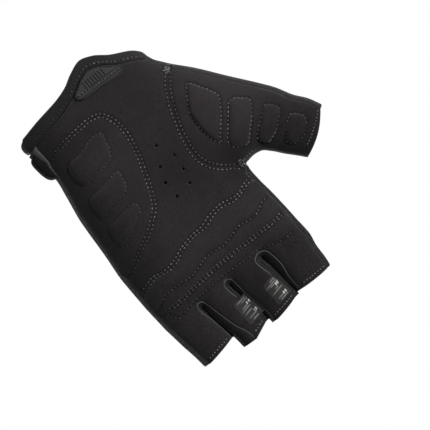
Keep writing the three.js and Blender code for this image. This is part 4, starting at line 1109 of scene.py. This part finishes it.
# %% [markdown]
# ## Gussets between the fingers
#
# A fourchette is a ribbon of thin knit that runs down one finger's side, round the web and up
# the next finger's side. From the palm it shows as the dark bottom of each slit. Round the web
# it has more cloth than room and bunches into pleats, which are a sine wave along the ribbon.
# Its edges are caught in the seams, so here they are tucked a little under the suede.

# %% Gussets
def cut_edge(index, s):
    """The edge of a slit: down its left side (s to 1), round the web (1 to 2), up its right side (to 3)."""
    row = np.where(s < 1, 2 - s, 1 + np.maximum(s - 2, 0))
    left = finger_edge(2 * index + 1, row, palm_left, palm_right)
    right = finger_edge(2 * index + 2, row, palm_left, palm_right)
    return left + (right - left) * np.clip(s - 1, 0, 1)[..., None]


def gusset(index, rows, s, ws):
    """From the cut edge over a crest and on to the back's edge, closer to the crest in its middle."""
    edge = cut_edge(index, s)
    crest = hand_line(rows, CREST_UP, 2)
    line_x = edge_x(rows, edge[:, 1], 2)
    from_crest = edge - crest
    apart = np.clip(0.02 - 0.1 * np.maximum(edge[:, 1] - crest[1], 0), -0.15, None)[:, None]
    round_web = crest + from_crest * np.maximum(apart, 0.02) / np.linalg.norm(from_crest, axis=1, keepdims=True)
    upright = np.stack([line_x + np.where(s <= 1, -1, 1) * apart[:, 0], edge[:, 1]], -1)
    above = (edge[:, 1] > crest[1]) & ((s <= 1) | (s >= 2))
    top = np.where(above[:, None], upright, round_web)
    moved = beside(lambda at: cut_edge(index, at), s, -0.3)
    reach = (np.abs(1 - ws) ** 1.6)[None, :, None]
    places = top[:, None] * (1 - reach) + moved[:, None] * reach
    return on_sides(ws < 1, places[..., 0], places[..., 1])


WEB_MIDDLE, WEB_SPREAD, PLEAT_PITCH, PLEAT_RISE = 1.5, 0.62, 0.36, 0.45
gusset_s, gusset_columns = runs(0, 60, 1, 24, 2, 61, 3), 31
pleats = bell(gusset_s - WEB_MIDDLE, WEB_SPREAD) * np.sin(2 * np.pi * (gusset_s - WEB_MIDDLE) / PLEAT_PITCH)
across = np.sin(np.pi * np.linspace(0, 1, gusset_columns)) ** 0.5
tucked = -0.6 * np.abs(np.linspace(-1, 1, gusset_columns)) ** 8
# Painted shade on the web and the right-hand wall, which faces the key lamp: from s of about 1.3 on, less on the
# pleats' crests, which is painted light.
shaded = np.clip(smoothstep(gusset_s, 1.3, 1.9) - 0.4 * np.maximum(pleats, 0), 0, 1)
for index, (name, rows) in enumerate(SLITS.items()):
    grid = gusset(index, rows, gusset_s, np.linspace(0, 2, gusset_columns))
    piece = sew_grid(f"gusset_{name}", grid, GUSSET_WALL, lift=PLEAT_RISE * np.outer(pleats, across) + tucked,
                     marks={"shade": shaded[:, None]})
    finish_piece(piece, "gusset_stretch", GUSSET, f"fourchette_{name}")

# %% [markdown]
# ## Cords laid along lines
#
# The raw edge of the seam round each slit shows as a thin grey line, and the fold of the palm's
# hem as a dim one over the cuff. Both are a small round profile carried along a line on the
# cloth. The profile is a flattened circle, and its frame turns with the line and the surface.

# %% Rolled edges
def rolled_edge(name, path, y, radius, slot, material, tone=0.75, flat=0.8, out=None):
    """A circle squeezed by flat, carried along a path of x and z at height y, with rounded ends."""
    centre = np.stack([path[:, 0], y, path[:, 1]], -1)
    along = unit(np.gradient(centre, axis=0))
    out = outwards_of(palm_side, path[:, 0], path[:, 1]) if out is None else out
    across = unit(np.cross(along, out))
    out = np.cross(across, along)
    turn = np.linspace(0, 2 * np.pi, 8, endpoint=False)
    ends = np.linspace(-1, 1, len(path))
    size = radius * np.sqrt(np.clip(1 - np.abs(ends) ** 60, 0.05, 1))[:, None, None]
    ring = across[:, None] * np.cos(turn)[None, :, None] + out[:, None] * flat * np.sin(turn)[None, :, None]
    points = (centre[:, None] + ring * size).reshape(-1, 3)
    number = np.arange(len(path) * 8).reshape(-1, 8)
    side = np.stack([number[:-1], np.roll(number, -1, 1)[:-1], np.roll(number, -1, 1)[1:], number[1:]], -1)
    caps = [number[0, [[3, 2, 1, 0], [7, 4, 3, 0], [7, 6, 5, 4]]],
            number[-1, [[0, 1, 2, 3], [0, 3, 4, 7], [4, 5, 6, 7]]]]
    quads = np.concatenate([side.reshape(-1, 4)[:, ::-1], *caps])
    piece = make_mesh(name, points, quads, {"tone": np.full(len(points), tone)})
    return finish_piece(piece, slot, material)


# where each raw edge ends, going round its slit
RAW_END = {"index_middle": 2.44, "middle_ring": 2.36, "ring_little": 2.99}
for index, (name, end) in enumerate(RAW_END.items()):
    along = np.linspace(0.03, end, 150)
    edge = cut_edge(index, along).T
    path = beside(lambda at: cut_edge(index, at), along, 0.15)
    rolled_edge(f"raw_edge_{name}", path, palm_side(*edge) + 0.5, 0.36, "thread", EDGE_THREAD,
                out=outwards_of(palm_side, *edge))

# %% The fold of the palm's hem
hem_x = np.linspace(3, 34, 90)
hem_path = np.stack([hem_x, palm_hem(hem_x) + 0.5], -1)
rolled_edge("hem_fold", hem_path, palm_side(*hem_path.T) - 0.1, 0.42, "thread", EDGE_THREAD, tone=0.2)

# %% [markdown]
# ## The cuff
#
# A smooth elastic band goes once round the wrist. On the palm side it follows the dip of the
# palm's hem, and its lower edge is fuller there, so that the glove pulls on easily.

# %% The cuff
def cuff_grid(us, vs):
    """Once round the wrist: shares of the width run mostly as a cosine, heights between foot and hem."""
    back = (us > 1)[:, None]
    turned = np.where(us > 1, 2 - us, us)
    share = 0.1 * turned + 0.45 * (1 - np.cos(np.pi * turned))
    from_side = np.minimum(share, 1 - share)[:, None]
    side = 1 - smoothstep(from_side, 0, 0.08)
    corner = np.clip(1 - from_side / 0.05, 0, 1)
    gap = 1.6 * SEAM_GAP
    back_top = BACK_HEM - gap
    x = np.repeat((share - 0.5)[:, None] * 0.9 * HAND_WIDTH, len(vs), axis=1)
    for _ in range(4):
        hem = palm_hem(x) - gap
        fuller = 0.2 * smoothstep(x, 0, 0.3 * HAND_WIDTH) * np.where(x < 0.42 * HAND_WIDTH, 1, 0.6)
        foot = palm_hem(x) - CUFF_HEIGHT * (1 + fuller) + CORNER_RISE * (1 - np.sqrt(1 - corner**2))
        top = np.where(back, back_top + (hem - back_top) * side, hem)
        foot = np.where(back, -CUFF_BACK_HEIGHT + (foot + CUFF_BACK_HEIGHT) * side, foot)
        z = foot + (top - foot) * vs
        x = edge_x(THENAR_SEAM, z) + (edge_x(LITTLE_SIDE, z) - edge_x(THENAR_SEAM, z)) * share[:, None]
    return on_sides(~back, x, z)


# The band is a ring: its last column of cells joins the first, and the grid is wrapped by a few
# columns to find the outward directions on both sides of that join.
CORNER_RISE, BAND_SWELL, BAND_THICK, WRAP = 2.4, 0.35, 1.4, 6
cuff_vs = np.linspace(0, 1.4, 30)
grid = cuff_grid(runs(0, 160, 1, 160, 2), cuff_vs)
wrapped = np.concatenate([grid[-WRAP:], grid, grid[:WRAP]])
swell = BAND_SWELL * np.sin(np.pi * np.clip(cuff_vs, 0, 1)) ** 0.5
swell = swell - (SUEDE_WALL + BAND_SWELL) * smoothstep(cuff_vs, 0.97, 1.14)
# Painted shade: by its shade mark the band grows darker towards the little-finger side.
cuff = sew_grid("cuff_elastic_band", grid, CUFF_WALL, grid_outwards(wrapped, 5)[WRAP:-WRAP],
                grid_quads(len(grid) + 1, len(cuff_vs)) % (grid.size // 3),
                lift=swell, bottom=swell - BAND_THICK, round_rim=0.9,
                marks={"shade": 0.62 * smoothstep(grid[..., 0], -30, 15)})
finish_piece(cuff, "cuff_elastic", ELASTIC, "cuff_band")

# %% [markdown]
# ## Woven label and tabs
#
# A woven label lies over the palm's hem, and two narrow woven tabs lie across the fingers, to
# pull the glove off by. Weaving shows as raised yarns, so their grids are fine enough for real
# ribs: each rib is a sine wave, and a mark on the points tells the finish which yarns are pale.

# %% The woven label
LAY_GAP = 0.62  # how high the label and the strap lie over the place under them
# across, top, bottom
LABEL_LINES = np.array([
    [-0.297, -0.008, -0.028], [-0.288, -0.001, -0.033], [-0.245, 0.001, -0.05], [-0.18, -0.002, -0.087],
    [-0.13, -0.006, -0.097], [-0.078, -0.008, -0.088], [-0.02, -0.012, -0.064], [0.01, -0.024, -0.052],
    [0.022, -0.033, -0.043],
])


def make_woven(name, dark, light, pale):
    """Dark ground, lighter ribs and pale yarns, by the marks on the points."""
    material, tree, shader = shade(name, dark, 0.7, sheen=0.2)
    place = place_of(tree)
    grain = noise(tree, place, 2400, 2)
    colour = blend_colours(tree, marked(tree, "rib"), dark, light)
    colour = blend_colours(tree, marked(tree, "pale"), colour, pale)
    colour = blend_colours(tree, span(tree, grain, 0.45, -0.15), colour, times(dark, 0.4))
    tree.links.new(colour, shader.inputs["Base Color"])
    raise_surface(tree, shader, (grain, 0.00006))
    return material


LABEL_WEAVE = make_woven("label_weave", (0.014, 0.0135, 0.0145), (0.075, 0.073, 0.078), (0.2, 0.2, 0.2))
TAB_WEAVE = make_woven("tab_weave", (0.021, 0.0195, 0.021), (0.3, 0.29, 0.275), (0.62, 0.62, 0.6))


def bars(x, centres, half, soft=0.12):
    """1 on each bar and 0 between them, with soft sides."""
    distance = np.min(np.abs(np.asarray(x)[..., None] - np.asarray(centres)), axis=-1)
    return np.clip((half - distance) / soft + 0.5, 0, 1)


us, vs = np.linspace(0, 1, 150), np.linspace(0, 1, 64)
across = (LABEL_LINES[0, 0] + (LABEL_LINES[-1, 0] - LABEL_LINES[0, 0]) * us)[:, None]
top, low = smooth_curve(LABEL_LINES, 1, across), smooth_curve(LABEL_LINES, 2, across)
x = across * HAND_WIDTH + np.zeros(len(vs))
z = (low + (top - low) * vs) * PALM_LENGTH
level = z + 0.035 * (x + 27)
ridge = 0.5 + 0.5 * np.cos(2 * np.pi * level / 1.12)
field = (smoothstep(x, -19.5, -19) * (1 - smoothstep(x, -6, -5.5))
         * smoothstep(level, -8.6, -8.3) * (1 - smoothstep(level, -4.4, -4.1)))
upright = bars(x, np.arange(-18.4, -6, 1.75), 0.5)
ridge = ridge * (1 - field) + (0.75 - 1.5 * upright) * field
seams = bell(level + 1.6, 0.28) + bell(level + 3.6, 0.28)
edge = np.minimum(np.minimum(vs, 1 - vs) * (top - low) * PALM_LENGTH,
                  12 * np.minimum(us, 1 - us)[:, None] + 0.2)
label = sew_grid(
    "pull_label", on_side(palm_side, x, z), LABEL_WALL, bottom=0.3, round_rim=0.8,
    lift=LAY_GAP + LABEL_WALL + 0.16 * ridge - 0.2 * np.clip(seams, 0, 1) - 0.35 * bell(edge, 0.7),
    marks={"rib": np.clip(0.25 + 0.75 * ridge - 0.7 * seams, 0, 1) * smoothstep(edge, 0.15, 0.9),
           "pale": 0.0},
)
finish_piece(label, "label_woven", LABEL_WEAVE, "cuff_label")


# %% Finger tabs
def sew_tab(name, node, gap, over, right, low, high, tilt, lines, marks):
    """A ribbon from a slit's edge, or from over the slit, across a finger: raised lines and pale bars."""
    us, vs = np.linspace(0, 1, 70), np.linspace(0, 1, 96)
    up = low + (high - low) * vs[None, :] + tilt * us[:, None]
    bank = smooth_curve(SLITS[gap], 3, up) * HAND_WIDTH
    left = bank + over * (smooth_curve(SLITS[gap], 1, up) * HAND_WIDTH + 0.9 - bank)
    x = left + (right - left) * us[:, None]
    z = height(up)
    level = height(low + (high - low) * vs)[None, :] + np.zeros_like(x)
    line = np.max([bars(level, [at], 0.27, 0.15) * smoothstep(x - left, begin, begin + 0.4)
                   * (1 - smoothstep(x - left, end - 1.5, end)) for at, begin, end in lines], axis=0)
    pale = np.max([bars(x, xs, 0.42, 0.15) * bars(level, [at], 0.75, 0.2) for xs, at in marks], axis=0)
    grid = on_side(palm_side, x, z)
    grid[..., 1] = np.minimum(grid[..., 1], palm_side(bank + 0.8, z))
    ridge = 0.5 + 0.5 * np.cos(2 * np.pi * level / 1.1)
    merge = smoothstep(us, 0.45, 1.0)[:, None]
    edge = np.minimum((x - left), np.minimum(vs, 1 - vs)[None, :] * (high - low) * STALL_LENGTH)
    lift = (0.75 + 0.05 * ridge + 0.1 * line + 0.1 * pale - 0.3 * bell(edge, 0.5)) * (1 - merge)
    fade = 1 - 0.8 * smoothstep(us, 0.55, 1.0)[:, None]
    tab = sew_grid(
        name, grid, TAB_WALL, lift=lift + 0.12 - 0.2 * merge, bottom=-0.4, round_rim=0.6,
        marks={"rib": np.clip(0.1 * ridge + 0.8 * line * fade, 0, 1), "pale": pale * fade},
    )
    return finish_piece(tab, "tab_woven", TAB_WEAVE, node)


# Each line is its height, then where it begins and ends from the slit's edge.
sew_tab("woven_tab_middle", "pull_tab_middle", "index_middle", 0, -9.4, 1.45, 1.88, 0.06,
        [(151.6, 1, 6), (150.4, 2, 8), (149.0, 3.2, 8.5), (145.4, 1.5, 9.5), (144.2, 3, 6), (141.8, 0.5, 7),
         (140.8, 1, 9.5), (139.6, 0.3, 5)],
        [([-18.1, -16.8], 148.8), ([-17.5, -16.4], 142.6)])
sew_tab("woven_tab_ring", "pull_tab_ring", "middle_ring", 1, 9.4, 1.38, 1.84, 0.05,
        [(150.4, 1, 7), (149.2, 3, 8), (147.3, 2, 9), (144.4, 4, 9), (142.4, 2, 9.5), (141.2, 3, 8),
         (138.4, 0.5, 6), (137.2, 1, 8)],
        [([0.1, 1.5], 146.2), ([0.4, 2.0], 140.4)])

# %% [markdown]
# ## The closure strap
#
# The back of the wrist closes with a wide strap of hook-and-loop tape. Its folded end comes
# round the little-finger side, where it shows from the palm as a dark fuzzy bulge.

# %% The strap
# WRAPPED is the share of its length that the strap spends on the palm side. The section is round
# at the fold, a low power of the share across, and flat further on, a high power.
WRAPPED, STRAP_COLUMNS = 0.06, 34
us = runs(0, 16, WRAPPED, 110, 1)
zs = STRAP_START + np.linspace(0, 1, STRAP_COLUMNS) * STRAP_WIDTH
edge = edge_x(LITTLE_SIDE, zs)
near = edge - PIPING_FRONT * (1 - np.minimum(us / WRAPPED, 1))[:, None] ** 2
along = np.clip((us - WRAPPED) / (1 - WRAPPED), 0, 1)[:, None]
on_palm = us[:, None] < WRAPPED
x = np.where(on_palm, near, edge - STRAP_LENGTH * along**1.5)
thick = STRAP_FOLD_WALL + (STRAP_WALL - STRAP_FOLD_WALL) * smoothstep(us, 0.05, 0.35)[:, None]
across = np.abs(np.linspace(-1, 1, STRAP_COLUMNS))[None, :]
at_fold = np.clip(1 - across**2.4, 0, 1) ** 0.6
beyond = np.clip(1 - across**6, 0, 1) ** 0.5
section = at_fold + (beyond - at_fold) * smoothstep(us, 0.06, 0.25)[:, None]
strap = sew_grid("closure_strap_tape", on_sides(on_palm, x, zs + np.zeros_like(x)), STRAP_WALL,
                 lift=LAY_GAP + thick * (0.2 + 0.8 * section), bottom=LAY_GAP, round_rim=0.9)


def make_loop_tape():
    """Black loop tape: fine tangled fuzz, with a few lighter loops."""
    material, tree, shader = shade("loop_tape", (0.006, 0.0055, 0.006), 1.0, sheen=0.05)
    place = place_of(tree)
    fuzz, loops = noise(tree, place, 1500, 4), noise(tree, place, 3800, 2)
    colour = blend_colours(tree, span(tree, loops, -0.4, 1.1), (0.0035, 0.0033, 0.0035), (0.012, 0.0115, 0.012))
    tree.links.new(colour, shader.inputs["Base Color"])
    raise_surface(tree, shader, (fuzz, 0.0005), (loops, 0.0002))
    return material


finish_piece(strap, "hook_and_loop", make_loop_tape(), "closure_strap")

# %% [markdown]
# ## Stitches
#
# A machine stitch is a short length of thread that dips into the cloth at both ends. One small
# form is enough: a spindle of a few dozen faces, bent so that its ends sink. It is set along
# every row at an even pitch, each with a slightly different length, turn and shade. Between two
# stitches the thread goes down through the needle hole, where a shorter black spindle lies a
# little lower as painted shade. All the stitches of one seam become one mesh.

# %% A stitch and its rows
rng = np.random.default_rng(7)
STITCH_PITCH, STITCH_LENGTH, THREAD_RADIUS, RINGS, SIDES = 2.35, 1.5, 0.34, 5, 6
HOLE_HALF, HOLE_THICK, HOLE_SINKS = 0.45, 1.35, 0.14
along_stitch = np.sin(np.linspace(-1, 1, RINGS) * np.pi / 2 * 0.93)
turns = np.linspace(0, 2 * np.pi, SIDES, endpoint=False)
STITCH_POINTS = np.stack([
    np.repeat(along_stitch, SIDES),
    np.tile(np.cos(turns), RINGS) * np.repeat(np.sqrt(1 - along_stitch**2), SIDES),
    np.tile(np.sin(turns), RINGS) * np.repeat(np.sqrt(1 - along_stitch**2), SIDES),
], -1)
number = np.arange(RINGS * SIDES).reshape(RINGS, SIDES)
beside_it = np.roll(number, -1, 1)
STITCH_QUADS = np.concatenate([
    np.stack([number[:-1], number[1:], beside_it[1:], beside_it[:-1]], -1).reshape(-1, 4),
    number[0, [[0, 1, 2, 3], [0, 3, 4, 5]]], number[-1, [[3, 2, 1, 0], [5, 4, 3, 0]]],
])


def even_places(path, pitch, step=0.3):
    """Places and directions at even steps along a path of x and z."""
    at = np.arange(pitch / 2, run_along(path)[-1], pitch)
    return places_at(path, at), places_at(path, at + step) - places_at(path, at - step)


def lay_stitches(name, rows, relief, proud=0.12, pitch=STITCH_PITCH, length=STITCH_LENGTH, size=1.0, tone=0.8):
    """A bright spindle on every place, bent down at its ends, and a black one in the needle hole after it, as
    painted shade.
    """
    found = [even_places(row, pitch) for row in rows]
    places, ways = np.vstack([p for p, _ in found]), unit(np.vstack([d for _, d in found]))
    # Above the cuff a row ends at the piping, and does not run over it.
    on_cloth = (places[:, 0] < palm_right(places[:, 1]) - 0.9) | (places[:, 1] < 2)
    places, ways = places[on_cloth], ways[on_cloth]
    count = len(places)
    jitter = rng.normal(0, 0.06, (count, 2))
    shades = np.clip(rng.normal(1, 0.25, count), 0.35, 1.5) * (tone(*places.T) if callable(tone) else tone)
    # place, half the length, thickness, height over the cloth, tone
    groups = [
        (places + jitter, length / 2 * rng.uniform(0.85, 1.15, count), 1.0, proud, np.clip(shades, 0.1, 1)),
        # The needle holes get tone 0: black, as painted shade.
        (places + ways * pitch / 2, np.full(count, HOLE_HALF), HOLE_THICK, proud - HOLE_SINKS, np.zeros(count)),
    ]
    points, quads, tones = [], [], []
    for group, (spot, half, thick, stand, shade_of) in enumerate(groups):
        x, z = spot.T
        out = outwards_of(palm_side, x, z)
        centre = on_side(palm_side, x, z) + out * (relief(x, z) + stand)[:, None]
        turn = rng.normal(0, 0.09, count)
        c, s = np.cos(turn), np.sin(turn)
        along = np.stack([ways[:, 0] * c - ways[:, 1] * s, np.zeros(count), ways[:, 0] * s + ways[:, 1] * c], -1)
        along = unit(along - out * np.sum(along * out, axis=1, keepdims=True))
        across = np.cross(along, out)
        radius = (THREAD_RADIUS * size * thick * rng.uniform(0.85, 1.15, count))[:, None]
        lengthwise, sideways, upwards = STITCH_POINTS.T
        dip = -0.3 * lengthwise**2 + upwards * 0.8 * radius
        points.append(centre[:, None] + along[:, None] * (lengthwise * half[:, None])[..., None]
                      + across[:, None] * (sideways * radius)[..., None] + out[:, None] * dip[..., None])
        quads.append(STITCH_QUADS + len(STITCH_POINTS) * (np.arange(count) + group * count)[:, None, None])
        tones.append(np.repeat(shade_of, len(STITCH_POINTS)))
    piece = make_mesh(name, np.concatenate(points).reshape(-1, 3), np.concatenate(quads).reshape(-1, 4),
                      {"tone": np.concatenate(tones)})
    print(f"{name}: {count} stitches")
    return finish_piece(piece, "thread", THREAD)


# %% Stitches of the palm and the thumb
def fading(low, high, start, end):
    """A tone that runs from low to high shades while x goes from start to end."""
    return lambda x, z: low + (high - low) * smoothstep(x, start, end)


for name, rows, relief, tone in [
    ("thenar", THENAR_PATHS[:1], palm_relief, 0.66),
    ("thenar_inner", THENAR_PATHS[1:], palm_relief, 0.45),
    ("thumb_islands", THUMB_ISLAND_PATHS, thumb_relief, fading(0.36, 0.9, -80, -58)),
    ("heel", HEEL_PATHS, palm_relief, fading(0.66, 0.2, 5, 33)),
    ("heel_islands", HEEL_ISLAND_PATHS, palm_relief, fading(0.34, 0.05, 10, 25)),
    ("lower_rolls", BAND_PATHS[:2], palm_relief, fading(0.85, 0.5, 0, 42)),
    ("bands", BAND_PATHS[2:5], palm_relief, fading(0.65, 0.4, 0, 42)),
    ("top_row", BAND_PATHS[5:], palm_relief, 0.28),
]:
    lay_stitches(f"stitches_{name}", rows, relief, tone=tone)


# %% Stitches of the hems, the cuff and the label
def panel_row(v, low, high):
    """A row across one finger at a height v, from share low to share high of its columns."""
    return panel_places(np.linspace(low, high, 30), np.array([v]), palm_left, palm_right, palm_hem)[:, 0]


def level(lift):
    """A relief that is the same everywhere."""
    return lambda x, z: np.full(len(x), lift)


FROM_OPENING = 2.1
HEM_STITCH = {"pitch": 1.9, "length": 1.25, "size": 0.9}
hem_rows = [panel_row(2 - FROM_OPENING / STALL_LENGTH, low, high)
            for low, high in [(0.06, 0.8), (2.06, 2.9), (4.1, 4.85), (6.08, 6.92)]]
mouth = thumb_places(np.linspace(0.05, 0.75, 40), np.array([1.925]), THENAR_SEAM, STRIP_FRONT)[:, 0]
web = np.array([[-56.5, 79.6], [-53, 79.0], [-49.5, 79.2], [-46.5, 80.2]])
lay_stitches("stitches_hems", hem_rows, palm_relief, tone=0.85, **HEM_STITCH)
lay_stitches("stitches_thumb_hem", [mouth, smooth_path(web)], thumb_relief, tone=0.65, **HEM_STITCH)

cuff_x = np.linspace(-39, 36, 120)
cuff_row = np.stack([cuff_x, palm_hem(cuff_x) - 2.2], -1)
lay_stitches("stitches_cuff", [cuff_row], level(0.3), pitch=2.3, size=0.95, tone=fading(0.6, 0.2, -20, 2))
label_row = np.array([[0.2, -4.9], [-6, -4.1], [-12.9, -3.2], [-20, -2.7], [-26.6, -2.3]])
lay_stitches("stitches_label", [smooth_path(label_row)], level(LAY_GAP + LABEL_WALL), pitch=2.1, size=0.95,
             tone=0.42)

# %% [markdown]
# ## Bartacks
#
# Where the double seam ends, a dense bar of zigzag thread locks it. Its thread is frayed and
# lighter than the rest.

# %% Bartacks
def bartack(name, centre, angle, length, relief, count=15, tone=0.75):
    """A zigzag of short overlapping stitches along a bar."""
    along = np.array([math.cos(angle), math.sin(angle)])
    across = np.array([-along[1], along[0]])
    share = np.linspace(-0.5, 0.5, count)[:, None]
    middle = np.asarray(centre) + share * length * along + rng.normal(0, 0.25, (count, 2))
    reach = (across * 1.5 + along * 0.4) * np.where(np.arange(count) % 2, 1, -1)[:, None]
    lay_stitches(name, np.stack([middle - reach, middle + reach], 1), relief,
                 pitch=1.8, length=2.0, size=0.8, tone=tone, proud=0.6)


bartack("bartack_heel_of_thumb", [-47.3, 13.9], math.radians(35), 4.5, palm_relief)
bartack("bartack_crotch", [-45.2, 80.4], math.radians(73), 4.6, palm_relief, 12, 0.45)

# %% [markdown]
# ## Light, floor and camera
#
# The photograph is a cut-out on white, lit softly and evenly from the front. A pale floor
# under the glove, a white surround and two large lamps give the same calm light. The camera
# looks square at the palm and is rolled until the fingers point down to the right.

# %% Floor and lights
FLOOR_DROP, FLOOR_HALF, SURROUND_GLOW = 0.28, 1.2, 0.08
floor_z = cad_box[0][2] - FLOOR_DROP
corners = [(x * FLOOR_HALF, y * FLOOR_HALF, floor_z) for x, y in [(-1, -1), (1, -1), (1, 1), (-1, 1)]]
floor = bpy.data.meshes.new("floor")
floor.from_pydata(corners, [], [(0, 1, 2, 3)])
floor.materials.append(shade("pale_floor", (0.9, 0.9, 0.9), 0.9)[0])
add_object("floor", floor)

# The surround is white to the camera, and gives the cloth only a little light of its own.
world = bpy.data.worlds.new("soft_surround")
bpy.context.scene.world = world
world.use_nodes = True
surround = world.node_tree
backdrop = surround.nodes["Background"]
backdrop.inputs["Color"].default_value = (1, 1, 1, 1)
seen = surround.nodes.new("ShaderNodeLightPath").outputs["Is Camera Ray"]
surround.links.new(span(surround, seen, SURROUND_GLOW, 1.0), backdrop.inputs["Strength"])
bpy.context.scene.view_settings.view_transform = "Standard"


def add_lamp(name, place, target, size, power):
    """A square area lamp turned towards a place."""
    lamp = bpy.data.lights.new(name, "AREA")
    lamp.size, lamp.energy = size, power
    piece = add_object(name, lamp)
    piece.location = place
    away = np.array(place) - np.array(target)
    tilt, turn = math.atan2(math.hypot(away[0], away[1]), away[2]), math.atan2(away[1], away[0])
    piece.rotation_euler = (tilt, 0, turn + math.pi / 2)


add_lamp("key_lamp", (-1.08, -1.2, 0.14), (-0.02, 0, 0.08), 0.6, 17)
add_lamp("fill_lamp", (0.1, -1.4, 0.3), (0, 0, 0.08), 0.9, 1.2)
add_lamp("back_lamp", (0.5, 1.5, 0.5), (0, 0, 0.08), 0.9, 16)

# %% The camera
# The picture is 430 pixels wide at 0.55 mm a pixel, and that width is exact at the height PLANE_Y.
TURN = math.radians(140)
FRAME_MM, LENS, SENSOR = 430 * 0.55, 200.0, 36.0
MIDDLE_X, PLANE_Y, MIDDLE_Z = -15.5, -9.0, 92.7
distance = FRAME_MM * MM * LENS / SENSOR
camera = bpy.data.cameras.new("photo_camera")
camera.lens, camera.sensor_width, camera.sensor_fit = LENS, SENSOR, "HORIZONTAL"
camera.clip_start, camera.clip_end = 0.01, 50
camera_piece = add_object("photo_camera", camera)
right = np.array([math.cos(TURN), 0, math.sin(TURN)])
up = np.array([-math.sin(TURN), 0, math.cos(TURN)])
back = np.cross(right, up)
matrix = np.eye(4)
matrix[:3] = np.stack([right, up, back, [MIDDLE_X * MM, PLANE_Y * MM - distance, MIDDLE_Z * MM]], -1)
camera_piece.matrix_world = Matrix(matrix.tolist())
bpy.context.scene.camera = camera_piece
print("camera back axis:", back, "distance:", distance)
